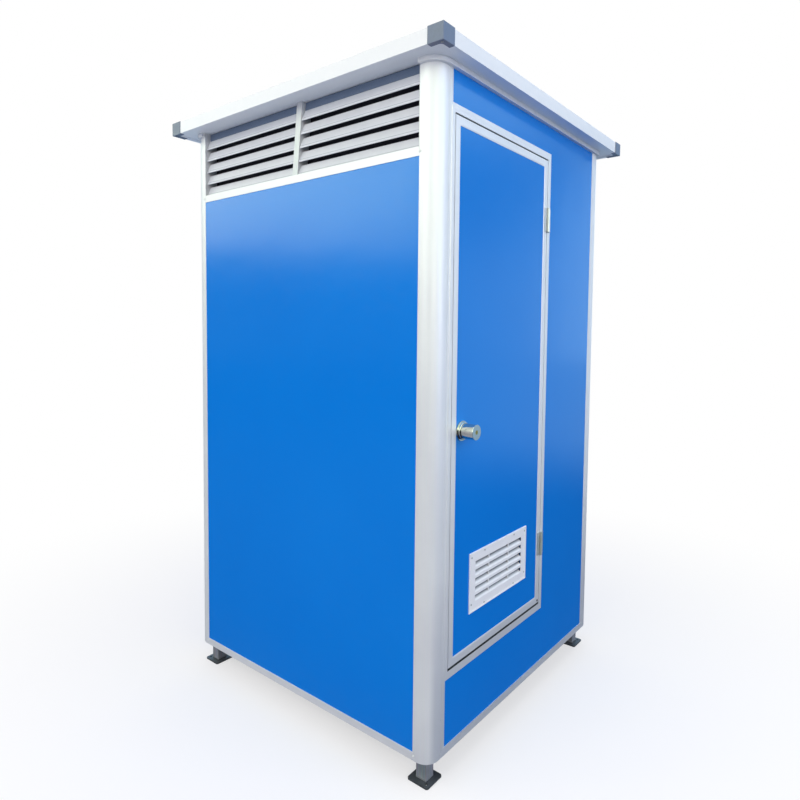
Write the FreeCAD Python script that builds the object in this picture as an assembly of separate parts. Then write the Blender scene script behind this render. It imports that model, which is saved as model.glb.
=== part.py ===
import FreeCAD
import Part
import os

from FreeCAD import Vector

# A portable toilet cabin: sandwich panels held in aluminium corner posts, on four legs, with an
# outward opening door in the front wall and louvers high in the two side walls.
# Lengths are in millimetres. +Z is up and the door faces -Y. The origin is on the ground, under
# the middle of the roof. Left and right are those of someone who looks at the door.

# Whole cabin
cabin_width = 1250.0            # outside faces of opposite walls, the same both ways
leg_height = 88.0               # ground to the underside of the walls
roof_overhang = 65.0
roof_edge_height = 46.0

# Aluminium profiles and the panels that they hold
profile_wall = 2.0
panel_thickness = 50.0
panel_edge_clearance = 1.0      # panel edge to the floor of its channel
post_radius = 50.0              # outer radius of the rounded corner
flange_reach = 65.0             # corner to the tip of a post's flanges
flange_bevel = 5.0
bevel_drop = 1.0
rail_height = 27.0
top_strip_height = 15.0
top_strip_proud = 12.0
strip_seat = 0.3                # top strip to the rounded post that it wraps
channel_lip = 10.0
channel_bevel = 9.0
channel_step = 0.6

# Louvers
louver_band = 255.0             # mid rail top to the underside of the roof
blade_count = 5
blade_pitch = 47.2
blade_recess = 11.0             # wall face to the blade lips
blade_depth = 36.0
blade_lip = 6.0
blade_bead = 1.2
blade_face_rise = 37.0          # foot of a blade to the fold at the top of its face
blade_face_lean = 14.0          # how far the fold lies behind the lip
blade_return_rise = 4.0
blade_sheet = 2.0
louver_frame_sheet = 2.0
mullion_width = 27.0
mullion_depth = 45.0
mullion_recess = 8.0
left_mullion_shift = -10.0      # foot of the left mullion, from the middle of its wall
left_mullion_lean = 26.0        # how far its top leans towards the front

# Door frame and leaf
sill_rise = 246.0               # underside of the walls to the underside of the door frame
door_frame_width = 692.0
door_frame_height = 1807.0
header_height = 115.0           # top of the door frame to the underside of the roof
frame_face = 27.0
frame_lip = 10.0
frame_proud = 2.0
stop_width = 12.0
seal_gap = 2.0
door_gap = 3.5
door_head_gap = 5.5
door_foot_gap = 9.0
leaf_core = 34.0
leaf_face = 27.0
leaf_bevel = 3.0
leaf_bevel_drop = 1.2

# Ventilation grilles in the leaf
grille_width = 395.0
grille_height = 205.0
grille_rise = 237.5             # foot of the leaf to the middle of the grilles
grille_sheet = 2.5
grille_rim = 5.0
grille_rim_height = 4.5
grille_rim_bevel = 1.5
slot_rows = 5
slot_pitch = 29.2
slot_height = 20.0
slot_span = 323.0
vane_sheet = 1.5
vane_reach = 10.0               # back of the grille's sheet to the inner edge of a vane
vane_gap = 9.0                  # inner edge of a vane to the top of its slot
grille_rib = 3.0
grille_rib_offset = 68.5        # middle of the grille to the middle of each rib
grille_land = 12.0              # grille edge to the hole behind it

# Hinges
hinge_length = 90.0
hinge_from_top = 225.5          # top of the leaf to the middle of the upper hinge
hinge_from_foot = 240.0         # foot of the leaf to the middle of the lower hinge
hinge_plate = 18.0
hinge_sheet = 2.0
knuckle_radius = 6.0
knuckle_count = 2
knuckle_gap = 0.3
pin_radius = 3.0
pin_running_clearance = 0.05

# Knob lock
lock_rise = 761.0               # foot of the leaf to the lock's axis
lock_backset = 60.0             # edge of the leaf to the lock's axis
lock_body_radius = 27.0
lock_body_clearance = 0.3
rose_radius = 32.5
rose_height = 12.0
rose_rim = 4.0
rose_shoulder = 28.0            # radius of the rose above its rim
neck_radius = 12.0
knob_radius = 24.5
knob_reach = 57.0               # face of the leaf core to the end of a knob
knob_length = 44.0
spindle_radius = 5.0
running_clearance = 0.3
latch_tube_size = 20.0
latch_bolt_radius = 8.0
latch_bolt_length = 36.0
latch_nose = 10.0
latch_plate_width = 25.0
latch_plate_height = 57.0
strike_sheet = 1.5
strike_width = 28.0
strike_margin = 1.5             # strike opening beyond the bolt, all round
key_plug_radius = 7.0
key_plug_length = 20.0
keyway_width = 1.2
keyway_height = 8.0
keyway_depth = 6.0
turn_shaft_radius = 5.0
turn_shaft_length = 18.0
turn_grip_length = 24.0
turn_grip_width = 5.0
turn_grip_reach = 9.0

# Roof
roof_sheet = 2.0
roof_lip = 25.0
cap_size = 54.0
cap_sheet = 2.0
cap_flange = 17.0
cap_flange_radius = 12.0

# Legs, beams and raised floor
leg_inset = 58.0                # wall face to the middle of a leg
beam_size = 40.0
beam_wall = 3.0
foot_plate = 82.0
foot_thickness = 6.0
foot_corner = 5.0
anchor_radius = 4.5
anchor_offset = 26.0            # middle of a leg to its anchor hole, both ways
floor_rise = 272.0              # underside of the walls to the floor
floor_thickness = 15.0
floor_clearance = 0.3
joist_offset = 170.0

# Squat pan and its pipes
pan_width = 430.0
pan_length = 560.0
pan_back_room = 93.0            # back edge of the pan to the wall
pan_rim = 14.0
pan_corner = 60.0
pan_wall = 14.0
pan_edge_room = 4.0             # bowl to the edge of the floor's hole
bowl_width = 190.0
bowl_length = 400.0
bowl_corner = 90.0
bowl_depth = 62.0               # floor to the bottom of the shallow bowl
bowl_forward = 25.0             # middle of the bowl ahead of the middle of the pan
well_radius = 70.0              # well at the back of the bowl
well_depth = 90.0
outlet_radius = 46.0
outlet_back = 85.0              # outlet behind the middle of the bowl
spigot_length = 40.0
tread_width = 90.0
tread_length = 260.0
tread_height = 7.0
tread_inset = 12.0
soil_pipe_radius = 55.0
soil_pipe_wall = 3.2
soil_pipe_foot = 60.0           # ground to the end of the soil pipe
pipe_fit = 0.3                  # pipe to what it slides into or over
flush_pipe_radius = 16.0
flush_pipe_wall = 2.0
flush_inlet_inset = 32.0        # back edge of the pan to the flush pipe

# Cistern
cistern_width = 380.0
cistern_depth = 150.0
cistern_height = 320.0
cistern_rise = 560.0            # floor to the underside of the cistern
cistern_corner = 25.0
lid_height = 16.0
lid_overlap = 4.0
button_width = 56.0
button_depth = 36.0
button_proud = 4.0
button_length = 14.0
button_travel = 5.0
button_room = 5.0               # well floor below the pressed button
inlet_radius = 10.5
inlet_length = 20.0             # end of the water inlet beyond its nut
inlet_tail_radius = 9.0
inlet_hole_room = 1.5           # hole in the back wall, larger than the inlet's tail
inlet_nut_size = 30.0
inlet_nut_height = 5.0
inlet_drop = 60.0
inlet_offset = 130.0            # left of the middle of the cistern

# Lamp and switch
lamp_size = 210.0
lamp_height = 42.0
lamp_edge = 14.0
switch_rise = 890.0             # floor to the middle of the switch
switch_from_front = 220.0       # front wall face to the middle of the switch
switch_plate_size = 85.0
switch_plate_depth = 10.0
switch_plate_edge = 2.0
rocker_width = 24.0
rocker_height = 30.0
rocker_clearance = 0.5
rocker_pivot = 5.0
rocker_front = 5.0
rocker_waist = 3.2
rocker_back = 1.0
rocker_tilt = 4.0               # degrees each way
rocker_axle_radius = 2.0
rocker_axle_reach = 2.0         # axle beyond each side of the rocker
switch_floor = 2.0

# Levels and depths that follow from the sizes above
half = cabin_width / 2
wall_depth = panel_thickness + 2 * profile_wall
slot_depth = flange_reach - wall_depth
wall_bottom = leg_height
frame_bottom = wall_bottom + sill_rise
frame_top = frame_bottom + door_frame_height
wall_top = frame_top + header_height
panel_end = wall_depth + panel_edge_clearance
mid_rail_top = wall_top - louver_band
strip_bottom = wall_top - top_strip_height
channel_face = flange_reach + channel_lip + channel_bevel
floor_top = wall_bottom + floor_rise
floor_bottom = floor_top - floor_thickness
roof_bottom = wall_top - roof_sheet
roof_top = roof_bottom + roof_edge_height
roof_half = half + roof_overhang

frame_left = -half + flange_reach
frame_right = frame_left + door_frame_width
opening_left = frame_left + frame_face
opening_right = frame_right - frame_face
opening_bottom = frame_bottom + frame_face
opening_top = frame_top - frame_face
leaf_left = opening_left + door_gap
leaf_right = opening_right - door_gap
leaf_bottom = opening_bottom + door_foot_gap
leaf_top = opening_top - door_head_gap
leaf_middle = (leaf_left + leaf_right) / 2
leaf_back = leaf_core + profile_wall

hinge_x = leaf_right + door_gap / 2
hinge_depth = -frame_proud - knuckle_radius
hinge_levels = (leaf_bottom + hinge_from_foot, leaf_top - hinge_from_top)
lock_x = leaf_left + lock_backset
lock_z = leaf_bottom + lock_rise
latch_depth = leaf_core / 2
neck_bore = neck_radius + running_clearance
wall_inside = half - profile_wall - panel_thickness
pan_back = wall_inside - pan_back_room
pan_middle = pan_back - pan_length / 2
bowl_middle = pan_middle - bowl_forward
outlet_y = bowl_middle + outlet_back
bowl_foot = floor_top - bowl_depth
well_foot = bowl_foot - well_depth - pan_wall
cistern_bottom = floor_top + cistern_rise
lid_bottom = cistern_bottom + cistern_height
lid_top = lid_bottom + lid_height


def front(depth):
    """Y of a point that lies this deep behind the front wall's face."""
    return -half + depth


def box(x0, x1, y0, y1, z0, z1):
    """Block between two corners."""
    return Part.makeBox(x1 - x0, y1 - y0, z1 - z0, Vector(x0, y0, z0))


def rod(radius, start, axis, length):
    """Round bar that runs from a start point along an axis."""
    return Part.makeCylinder(radius, length, start, axis)


def prism(corners, run):
    """Straight extrusion of a flat outline."""
    return Part.Face(Part.makePolygon(corners + corners[:1])).extrude(run)


def upright(outline, z0, z1):
    """Upright prism on a plan outline of (x, y) corners."""
    return prism([Vector(x, y, z0) for x, y in outline], Vector(0, 0, z1 - z0))


def along_wall(outline, x0, x1):
    """Front wall section of (depth, z) corners, extruded along the wall."""
    return prism([Vector(x0, front(depth), z) for depth, z in outline], Vector(x1 - x0, 0, 0))


def turned(shape, quarters):
    """Copy on another wall: 0 is the front, 1 the right, 2 the back and 3 the left."""
    copy = shape.copy()
    copy.rotate(Vector(0, 0, 0), Vector(0, 0, 1), 90 * quarters)
    return copy


def on_each_side(shape):
    """Four copies, a quarter turn apart."""
    return [turned(shape, quarters) for quarters in range(4)]


def revolved(outline, centre):
    """Turned piece about the Y line through a centre, from (radius, y) corners."""
    corners = [Vector(centre.x + radius, y, centre.z) for radius, y in outline]
    face = Part.Face(Part.makePolygon(corners + corners[:1]))
    return face.revolve(centre, Vector(0, 1, 0), 360)


def rounded_corner(shape, x, y, radius):
    """Fillet of the one upright edge that stands at a plan point."""
    edges = [edge for edge in shape.Edges
             if all(abs(v.X - x) < 0.01 and abs(v.Y - y) < 0.01 for v in edge.Vertexes)]
    return shape.makeFillet(radius, edges)


def rounded_rectangle(middle_y, width, length, radius, z):
    """Closed plan outline of a rectangle with rounded corners, centred on the cabin's middle."""
    plate = box(-width / 2, width / 2, middle_y - length / 2, middle_y + length / 2, z, z + 1)
    uprights = [edge for edge in plate.Edges if abs(edge.Vertexes[0].Z - edge.Vertexes[1].Z) > 0.5]
    plate = plate.makeFillet(radius, uprights)
    return [face for face in plate.Faces if abs(face.CenterOfMass.z - z) < 0.01][0].OuterWire


def save(name, shapes):
    """STEP file of one node."""
    solids = [solid for shape in shapes for solid in shape.Solids]
    kept = solids[0] if len(solids) == 1 else Part.makeCompound(solids)
    kept.exportStep("parts/" + name + ".step")


def legs():
    """Square tube legs on foot plates, each plate with one anchor hole in its outer corner."""
    inset = -half + leg_inset
    reach = foot_plate / 2
    cut = reach - foot_corner
    corners = [(reach, cut), (cut, reach), (-cut, reach), (-reach, cut),
               (-reach, -cut), (-cut, -reach), (cut, -reach), (reach, -cut)]
    plate = upright([(inset + x, inset + y) for x, y in corners], 0, foot_thickness)
    anchor = Vector(inset - anchor_offset, inset - anchor_offset, -1)
    plate = plate.cut(rod(anchor_radius, anchor, Vector(0, 0, 1), foot_thickness + 2))
    outer = beam_size / 2
    inner = outer - beam_wall
    tube = box(inset - outer, inset + outer, inset - outer, inset + outer, foot_thickness, wall_bottom)
    bore = box(inset - inner, inset + inner, inset - inner, inset + inner, foot_thickness, wall_bottom)
    return on_each_side(plate.fuse(tube.cut(bore)).removeSplitter())


def beam(start, stop, depth, z, axis):
    """Square tube along X, or along Y beside a side wall; depth is that of its outer face."""
    size = beam_size
    wall = beam_wall
    tube = box(start, stop, depth, depth + size, z, z + size)
    bore = box(start, stop, depth + wall, depth + size - wall, z + wall, z + size - wall)
    made = tube.cut(bore)
    if axis == "y":
        made = turned(made, 1)
    return made


def beam_ring(z):
    """Front and back beams with the side beams between them."""
    end = half - wall_depth
    ahead = beam(-end, end, -end, z, "x")
    beside = beam(-end + beam_size, end - beam_size, -end, z, "y")
    return [ahead, turned(ahead, 2), beside, turned(beside, 2)]


def floor_frame():
    """Posts on the base beams, a ring of beams under the floor and two joists beside the pan."""
    end = half - wall_depth
    level = floor_bottom - beam_size
    wall = beam_wall
    stub = box(-end, -end + beam_size, -end, -end + beam_size, wall_bottom + beam_size, level)
    bore = box(-end + wall, -end + beam_size - wall, -end + wall, -end + beam_size - wall,
               wall_bottom + beam_size, level)
    pieces = on_each_side(stub.cut(bore)) + beam_ring(level)
    run = end - beam_size
    joist = beam(-run, run, -joist_offset - beam_size / 2, level, "y")
    return pieces + [joist, turned(joist, 2)]


def floor_panel():
    """Floor board with the hole that the pan's bowl hangs in."""
    edge = half - wall_depth - floor_clearance
    board = box(-edge, edge, -edge, edge, floor_bottom, floor_top)
    margin = 2 * (pan_wall + pan_edge_room)
    hole = rounded_rectangle(bowl_middle, bowl_width + margin, bowl_length + margin,
                             bowl_corner + pan_wall, floor_bottom)
    return board.cut(Part.Face(hole).extrude(Vector(0, 0, floor_thickness)))


def corner_post():
    """Rounded hollow post at the front left corner, with a pair of flanges along each wall."""
    depth = wall_depth
    tip = flange_reach
    wall = profile_wall
    along_front = [(tip - flange_bevel, 0), (tip, bevel_drop), (tip, wall), (depth, wall),
                   (depth, depth - wall), (tip, depth - wall), (tip, depth)]
    along_side = [(y, x) for x, y in reversed(along_front)]
    outline = [(0, 0)] + along_front + [(depth, depth)] + along_side
    chamber = [(wall, wall), (depth - wall, wall), (depth - wall, depth - wall), (wall, depth - wall)]
    solid = upright([(x - half, y - half) for x, y in outline], wall_bottom, wall_top)
    hollow = upright([(x - half, y - half) for x, y in chamber], wall_bottom, wall_top)
    solid = rounded_corner(solid, -half, -half, post_radius)
    hollow = rounded_corner(hollow, -half + wall, -half + wall, post_radius - wall)
    return solid.cut(hollow)


def channel_rail(level, height, opens_up):
    """U rail between two posts: it opens up under a panel, or down over one."""
    wall = profile_wall
    depth = wall_depth
    web, lip = (level, level + height) if opens_up else (level + height, level)
    floor = web + wall if opens_up else web - wall
    outline = [(0, web), (depth, web), (depth, lip), (depth - wall, lip),
               (depth - wall, floor), (wall, floor), (wall, lip), (0, lip)]
    return along_wall(outline, -half + flange_reach, half - flange_reach)


def wall_panel(x0, x1, z0, z1):
    """Sandwich panel in the front wall's thickness."""
    return box(x0, x1, front(profile_wall), front(profile_wall + panel_thickness), z0, z1)


def louver(mullion_foot, mullion_lean):
    """Blades, mullion and jamb plates of one louver, as if it were in the front wall."""
    left = -half + flange_reach
    bays_left = left + louver_frame_sheet
    plate = box(left, bays_left, front(bevel_drop), front(wall_depth), mid_rail_top, wall_top)
    mullion = mullion_shape(mullion_foot, mullion_lean, 0)
    blades = []
    for index in range(blade_count):
        blade = along_wall(blade_outline(mid_rail_top + index * blade_pitch), bays_left, -bays_left)
        blades += blade.cut(mullion).Solids
    hollow = mullion.cut(mullion_shape(mullion_foot, mullion_lean, profile_wall))
    return blades, hollow, [plate, turned_half(plate)]


def turned_half(plate):
    """The same plate at the other end of its wall."""
    return plate.mirror(Vector(0, 0, 0), Vector(1, 0, 0))


def blade_outline(level):
    """Section of one blade: a lip with a bead, a face that leans in and a return behind it."""
    lip = blade_recess
    fold = lip + blade_face_lean
    back = lip + blade_depth
    foot = level + blade_lip
    shoulder = level + blade_face_rise
    tip = shoulder + blade_return_rise
    inner = lip + blade_bead + blade_sheet
    return [(lip, level), (lip, foot), (lip + blade_bead, foot), (fold, shoulder), (back, tip),
            (back, tip - blade_sheet), (fold + blade_sheet, shoulder - blade_sheet),
            (inner, foot), (inner, level)]


def mullion_shape(foot, lean, wall):
    """Upright box between the two bays; a wall thickness gives its hollow."""
    side = mullion_width / 2 - wall
    corners = [(foot - side, mid_rail_top), (foot + side, mid_rail_top),
               (foot + lean + side, wall_top), (foot + lean - side, wall_top)]
    near = front(mullion_recess + wall)
    run = mullion_depth - 2 * wall
    return prism([Vector(x, near, z) for x, z in corners], Vector(0, run, 0))


def top_rail():
    """Rail over the front wall, with a strip outside that wraps both posts."""
    wall = profile_wall
    depth = wall_depth
    outline = [(-top_strip_proud, strip_bottom), (wall, strip_bottom), (wall, wall_top - wall),
               (depth - wall, wall_top - wall), (depth - wall, strip_bottom), (depth, strip_bottom),
               (depth, wall_top), (-top_strip_proud, wall_top)]
    rail = along_wall(outline, -half + flange_reach, half - flange_reach)
    wrap = post_wrap()
    return rail.fuse([wrap, turned_half(wrap)]).removeSplitter()


def post_wrap():
    """End of the top strip, bent round the front left post to the end of its side flange."""
    out = -half - top_strip_proud
    inside = -half - strip_seat
    tip = -half + flange_reach
    band = upright([(tip, out), (out, out), (out, tip), (inside, tip), (inside, inside), (tip, inside)],
                   strip_bottom, wall_top)
    band = rounded_corner(band, out, out, post_radius + top_strip_proud)
    return rounded_corner(band, inside, inside, post_radius + strip_seat)


def edge_channel(z0, z1):
    """Channel in the slot of the front left post, which holds the edge of a front panel."""
    wall = profile_wall
    depth = wall_depth
    seat = flange_reach
    tongue = panel_end
    floor = seat + wall
    step = seat + channel_lip
    outline = [(seat, 0), (step, 0), (step, channel_step), (channel_face, channel_step + bevel_drop),
               (channel_face, wall), (floor, wall), (floor, depth - wall), (channel_face, depth - wall),
               (channel_face, depth), (seat, depth), (seat, depth - wall), (tongue, depth - wall),
               (tongue, wall), (seat, wall)]
    hollow = [(tongue + wall, 2 * wall), (seat, 2 * wall), (seat, depth - 2 * wall),
              (tongue + wall, depth - 2 * wall)]
    solid = upright([(x - half, y - half) for x, y in outline], z0, z1)
    return solid.cut(upright([(x - half, y - half) for x, y in hollow], z0, z1))


def frame_member(outline, hollow, field, side, width):
    """One mitred side of a rectangular frame. Outlines hold (distance in from the edge, depth)."""
    x0, x1, z0, z1 = field
    starts = {
        "left": lambda u, d: Vector(x0 + u, front(d), z0),
        "right": lambda u, d: Vector(x1 - u, front(d), z0),
        "bottom": lambda u, d: Vector(x0, front(d), z0 + u),
        "top": lambda u, d: Vector(x0, front(d), z1 - u),
    }
    mitres = {
        "left": [(x0, z0), (x0, z1), (x0 + width, z1 - width), (x0 + width, z0 + width)],
        "right": [(x1, z0), (x1, z1), (x1 - width, z1 - width), (x1 - width, z0 + width)],
        "bottom": [(x0, z0), (x1, z0), (x1 - width, z0 + width), (x0 + width, z0 + width)],
        "top": [(x0, z1), (x1, z1), (x1 - width, z1 - width), (x0 + width, z1 - width)],
    }
    run = Vector(0, 0, z1 - z0) if side in ("left", "right") else Vector(x1 - x0, 0, 0)
    place = starts[side]
    solid = prism([place(u, d) for u, d in outline], run)
    if hollow:
        solid = solid.cut(prism([place(u, d) for u, d in hollow], run))
    depths = [d for u, d in outline]
    near = front(min(depths))
    through = Vector(0, max(depths) - min(depths), 0)
    mitre = prism([Vector(x, near, z) for x, z in mitres[side]], through)
    return solid.common(mitre)


def door_frame():
    """Four mitred frame members, each with a slot for the wall panels in its outer edge."""
    wall = profile_wall
    depth = wall_depth
    floor = slot_depth
    proud = frame_proud
    outline = [(0, 0), (frame_lip, 0), (frame_lip + proud, -proud), (frame_face, -proud),
               (frame_face, depth), (0, depth), (0, depth - wall), (floor, depth - wall),
               (floor, wall), (0, wall)]
    inner = floor + wall
    outer = frame_face - wall
    hollow = [(inner, 0), (outer, 0), (outer, depth - wall), (inner, depth - wall)]
    field = (frame_left, frame_right, frame_bottom, frame_top)
    return {side: frame_member(outline, hollow, field, side, frame_face)
            for side in ("left", "right", "bottom", "top")}


def door_stops():
    """Mitred stop strips behind the leaf, on the inside of the frame."""
    near = leaf_back + seal_gap
    width = stop_width
    outline = [(0, near), (width, near), (width, wall_depth), (0, wall_depth)]
    field = (opening_left, opening_right, opening_bottom, opening_top)
    return [frame_member(outline, None, field, side, width)
            for side in ("left", "right", "bottom", "top")]


def leaf_frame():
    """Four mitred channels round the leaf's core, with a bevel beside the core."""
    wall = profile_wall
    face = leaf_face
    outline = [(0, -frame_proud), (face - leaf_bevel, -frame_proud),
               (face, -frame_proud + leaf_bevel_drop), (face, 0), (wall, 0), (wall, leaf_core),
               (face, leaf_core), (face, leaf_back), (0, leaf_back)]
    field = (leaf_left, leaf_right, leaf_bottom, leaf_top)
    return {side: frame_member(outline, None, field, side, face)
            for side in ("left", "right", "bottom", "top")}


def latch_bolt_bore(x0, x1):
    """Running bore of the latch bolt between two places along X."""
    start = Vector(x0, front(latch_depth), lock_z)
    return rod(latch_bolt_radius + pin_running_clearance, start, Vector(1, 0, 0), x1 - x0)


def latch_plate():
    """Face plate that lies flush in the edge of the leaf."""
    side = latch_plate_width / 2
    tall = latch_plate_height / 2
    near = front(latch_depth - side)
    return box(leaf_left, leaf_left + profile_wall, near, near + latch_plate_width,
               lock_z - tall, lock_z + tall)


def latch_tube(room):
    """Square tube of the latch from the leaf's edge to the lock's axis, larger all round by room."""
    side = latch_tube_size / 2 + room
    near = front(latch_depth)
    return box(leaf_left, lock_x, near - side, near + side, lock_z - side, lock_z + side)


def door_panel():
    """Core of the leaf, cut for the grilles, the lock body and the latch."""
    inset = profile_wall + panel_edge_clearance
    core = box(leaf_left + inset, leaf_right - inset, front(0), front(leaf_core),
               leaf_bottom + inset, leaf_top - inset)
    wide = grille_width / 2 - grille_land
    tall = grille_height / 2 - grille_land
    middle = leaf_bottom + grille_rise
    vent = box(leaf_middle - wide, leaf_middle + wide, front(0), front(leaf_core),
               middle - tall, middle + tall)
    lock = rod(lock_body_radius, Vector(lock_x, front(0), lock_z), Vector(0, 1, 0), leaf_core)
    return core.cut([vent, lock, latch_tube(running_clearance)])


def vent_grille():
    """Grille with sloped vanes in its slots, centred on the origin with its back on the XZ plane."""
    wide = grille_width / 2
    tall = grille_height / 2
    rim = grille_rim
    high = grille_rim_height
    border = box(-wide, wide, -high, 0, -tall, tall)
    outer_edges = [edge for edge in border.Edges
                   if all(abs(v.Y + high) < 0.01 for v in edge.Vertexes)]
    border = border.makeChamfer(grille_rim_bevel, outer_edges)
    border = border.cut(box(-wide + rim, wide - rim, -high, -grille_sheet, -tall + rim, tall - rim))
    side = slot_span / 2
    lowest = -(slot_rows - 1) / 2 * slot_pitch - slot_height / 2
    feet = [lowest + row * slot_pitch for row in range(slot_rows)]
    slots = [box(-side, side, -grille_sheet, 0, foot, foot + slot_height) for foot in feet]
    vanes = [vane(foot) for foot in feet]
    ribs = []
    top = feet[-1] + slot_height + grille_rib
    for x in (-grille_rib_offset, grille_rib_offset):
        x0 = x - grille_rib / 2
        ribs.append(box(x0, x0 + grille_rib, 0, vane_reach, feet[0], top))
    return border.cut(slots).fuse(vanes + ribs).removeSplitter()


def vane(foot):
    """Sloped sheet from the foot of one slot up to its inner edge, below the slot's top."""
    side = slot_span / 2
    top = foot + slot_height - vane_gap
    slope = (top - foot) / (grille_sheet + vane_reach)
    drop = vane_sheet * (1 + slope * slope) ** 0.5
    corners = [(-grille_sheet, foot), (vane_reach, top), (vane_reach, top - drop), (0, foot - drop),
               (-grille_sheet, foot - drop)]
    return prism([Vector(-side, y, z) for y, z in corners], Vector(2 * side, 0, 0))


def vent_grilles():
    """The same grille on both faces of the leaf."""
    outside = vent_grille()
    inside = outside.copy()
    inside.rotate(Vector(0, 0, 0), Vector(0, 0, 1), 180)
    middle = leaf_bottom + grille_rise
    outside.translate(Vector(leaf_middle, front(0), middle))
    inside.translate(Vector(leaf_middle, front(leaf_core), middle))
    return [outside, inside]


def hinge_leaf(level, direction, own_knuckles):
    """Plate and knuckles on one side of a hinge; direction is +1 on the frame and -1 on the leaf."""
    pitch = hinge_length / knuckle_count
    foot = level - hinge_length / 2
    axis_y = front(hinge_depth)
    seat = front(-frame_proud)
    near = knuckle_radius + knuckle_gap
    plate = box(near, near + hinge_plate, seat - hinge_sheet, seat, foot, foot + hinge_length)
    pieces = []
    for index in own_knuckles:
        z0 = foot + index * pitch + knuckle_gap / 2
        z1 = foot + (index + 1) * pitch - knuckle_gap / 2
        pieces.append(rod(knuckle_radius, Vector(0, axis_y, z0), Vector(0, 0, 1), z1 - z0))
        pieces.append(box(0, near, seat - hinge_sheet, seat, z0, z1))
    made = plate.fuse(pieces)
    bore = pin_radius + pin_running_clearance
    made = made.cut(rod(bore, Vector(0, axis_y, foot), Vector(0, 0, 1), hinge_length)).removeSplitter()
    if direction < 0:
        made = turned_half(made)
    made.translate(Vector(hinge_x, 0, 0))
    return made


def hinge_pin(level):
    """Straight pin through both knuckles."""
    start = Vector(hinge_x, front(hinge_depth), level - hinge_length / 2)
    return rod(pin_radius, start, Vector(0, 0, 1), hinge_length)


def lock_axis():
    """A point on the lock's axis, in the front wall's plane."""
    return Vector(lock_x, front(0), lock_z)


def to_inside(shape):
    """The same piece on the inner face of the leaf."""
    middle = front(leaf_core / 2)
    return shape.mirror(Vector(0, middle, 0), Vector(0, 1, 0))


def lock_rose():
    """Stepped cover on the leaf round the neck of a knob."""
    outline = [(neck_bore, front(0)), (rose_radius, front(0)), (rose_radius, front(-rose_rim)),
               (rose_shoulder, front(-rose_rim)), (rose_shoulder, front(-rose_height)),
               (neck_bore, front(-rose_height))]
    return revolved(outline, lock_axis())


def knob():
    """Outer knob: a neck and a cylindrical grip."""
    grip_foot = front(-knob_reach + knob_length)
    outline = [(0, front(-rose_rim)), (neck_radius, front(-rose_rim)), (neck_radius, grip_foot),
               (knob_radius, grip_foot), (knob_radius, front(-knob_reach)), (0, front(-knob_reach))]
    return revolved(outline, lock_axis())


def knob_outer():
    """Outer knob with the bore of its key plug."""
    start = Vector(lock_x, front(-knob_reach), lock_z)
    bore = key_plug_radius + pin_running_clearance
    return knob().cut(rod(bore, start, Vector(0, 1, 0), key_plug_length + running_clearance))


def knob_inner():
    """Inner knob with the spindle that joins the pair, and the bore of its turn button."""
    tip = Vector(lock_x, front(leaf_core + knob_reach), lock_z)
    bore = turn_shaft_radius + pin_running_clearance
    well = rod(bore, tip, Vector(0, -1, 0), turn_shaft_length + running_clearance)
    start = Vector(lock_x, front(-rose_rim), lock_z)
    spindle = rod(spindle_radius, start, Vector(0, 1, 0), leaf_core + 2 * rose_rim)
    return to_inside(knob()).fuse(spindle).cut(well).removeSplitter()


def key_plug():
    """Key cylinder, flush in the outer knob, with its keyway."""
    tip = front(-knob_reach)
    plug = rod(key_plug_radius, Vector(lock_x, tip, lock_z), Vector(0, 1, 0), key_plug_length)
    wide = keyway_width / 2
    tall = keyway_height / 2
    return plug.cut(box(lock_x - wide, lock_x + wide, tip, tip + keyway_depth,
                        lock_z - tall, lock_z + tall))


def turn_button():
    """Privacy turn in the inner knob: a shaft with a flat grip."""
    tip = front(leaf_core + knob_reach)
    start = Vector(lock_x, tip - turn_shaft_length, lock_z)
    shaft = rod(turn_shaft_radius, start, Vector(0, 1, 0), turn_shaft_length + running_clearance)
    wide = turn_grip_width / 2
    tall = turn_grip_length / 2
    grip = box(lock_x - wide, lock_x + wide, tip + running_clearance, tip + turn_grip_reach,
               lock_z - tall, lock_z + tall)
    end = tip + turn_grip_reach
    ends = [edge for edge in grip.Edges
            if all(abs(v.Y - end) < 0.01 for v in edge.Vertexes) and edge.Length < tall]
    return shaft.fuse(grip.makeFillet(wide / 2, ends)).removeSplitter()


def latch_case():
    """Lock body in the leaf, with the latch's tube and its face plate."""
    start = Vector(lock_x, front(running_clearance), lock_z)
    body = rod(lock_body_radius - lock_body_clearance, start, Vector(0, 1, 0),
               leaf_core - 2 * running_clearance)
    made = body.fuse([latch_tube(0), latch_plate()])
    spindle = rod(spindle_radius + running_clearance, lock_axis(), Vector(0, 1, 0), leaf_core)
    end = leaf_left + latch_bolt_length + running_clearance
    return made.cut([spindle, latch_bolt_bore(leaf_left, end)]).removeSplitter()


def latch_bolt():
    """Spring bolt drawn back flush with the leaf's edge, with its slanted nose."""
    start = Vector(leaf_left, front(latch_depth), lock_z)
    bolt = rod(latch_bolt_radius, start, Vector(1, 0, 0), latch_bolt_length)
    radius = latch_bolt_radius
    near = front(latch_depth - radius / 2)
    far = front(latch_depth + radius)
    slant = [(leaf_left, near), (leaf_left + latch_nose, far), (leaf_left, far)]
    return bolt.cut(upright(slant, lock_z - radius, lock_z + radius))


def strike_opening(x0, x1):
    """Hole for the bolt between two places along X."""
    reach = latch_bolt_radius + strike_margin
    middle = front(latch_depth)
    return box(x0, x1, middle - reach, middle + reach, lock_z - reach, lock_z + reach)


def strike_plate():
    """Plate on the latch jamb, round the hole that the bolt enters."""
    side = strike_width / 2
    tall = latch_plate_height / 2
    plate = box(opening_left, opening_left + strike_sheet, front(latch_depth - side),
                front(latch_depth + side), lock_z - tall, lock_z + tall)
    return plate.cut(strike_opening(opening_left, opening_left + strike_sheet))


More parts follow.
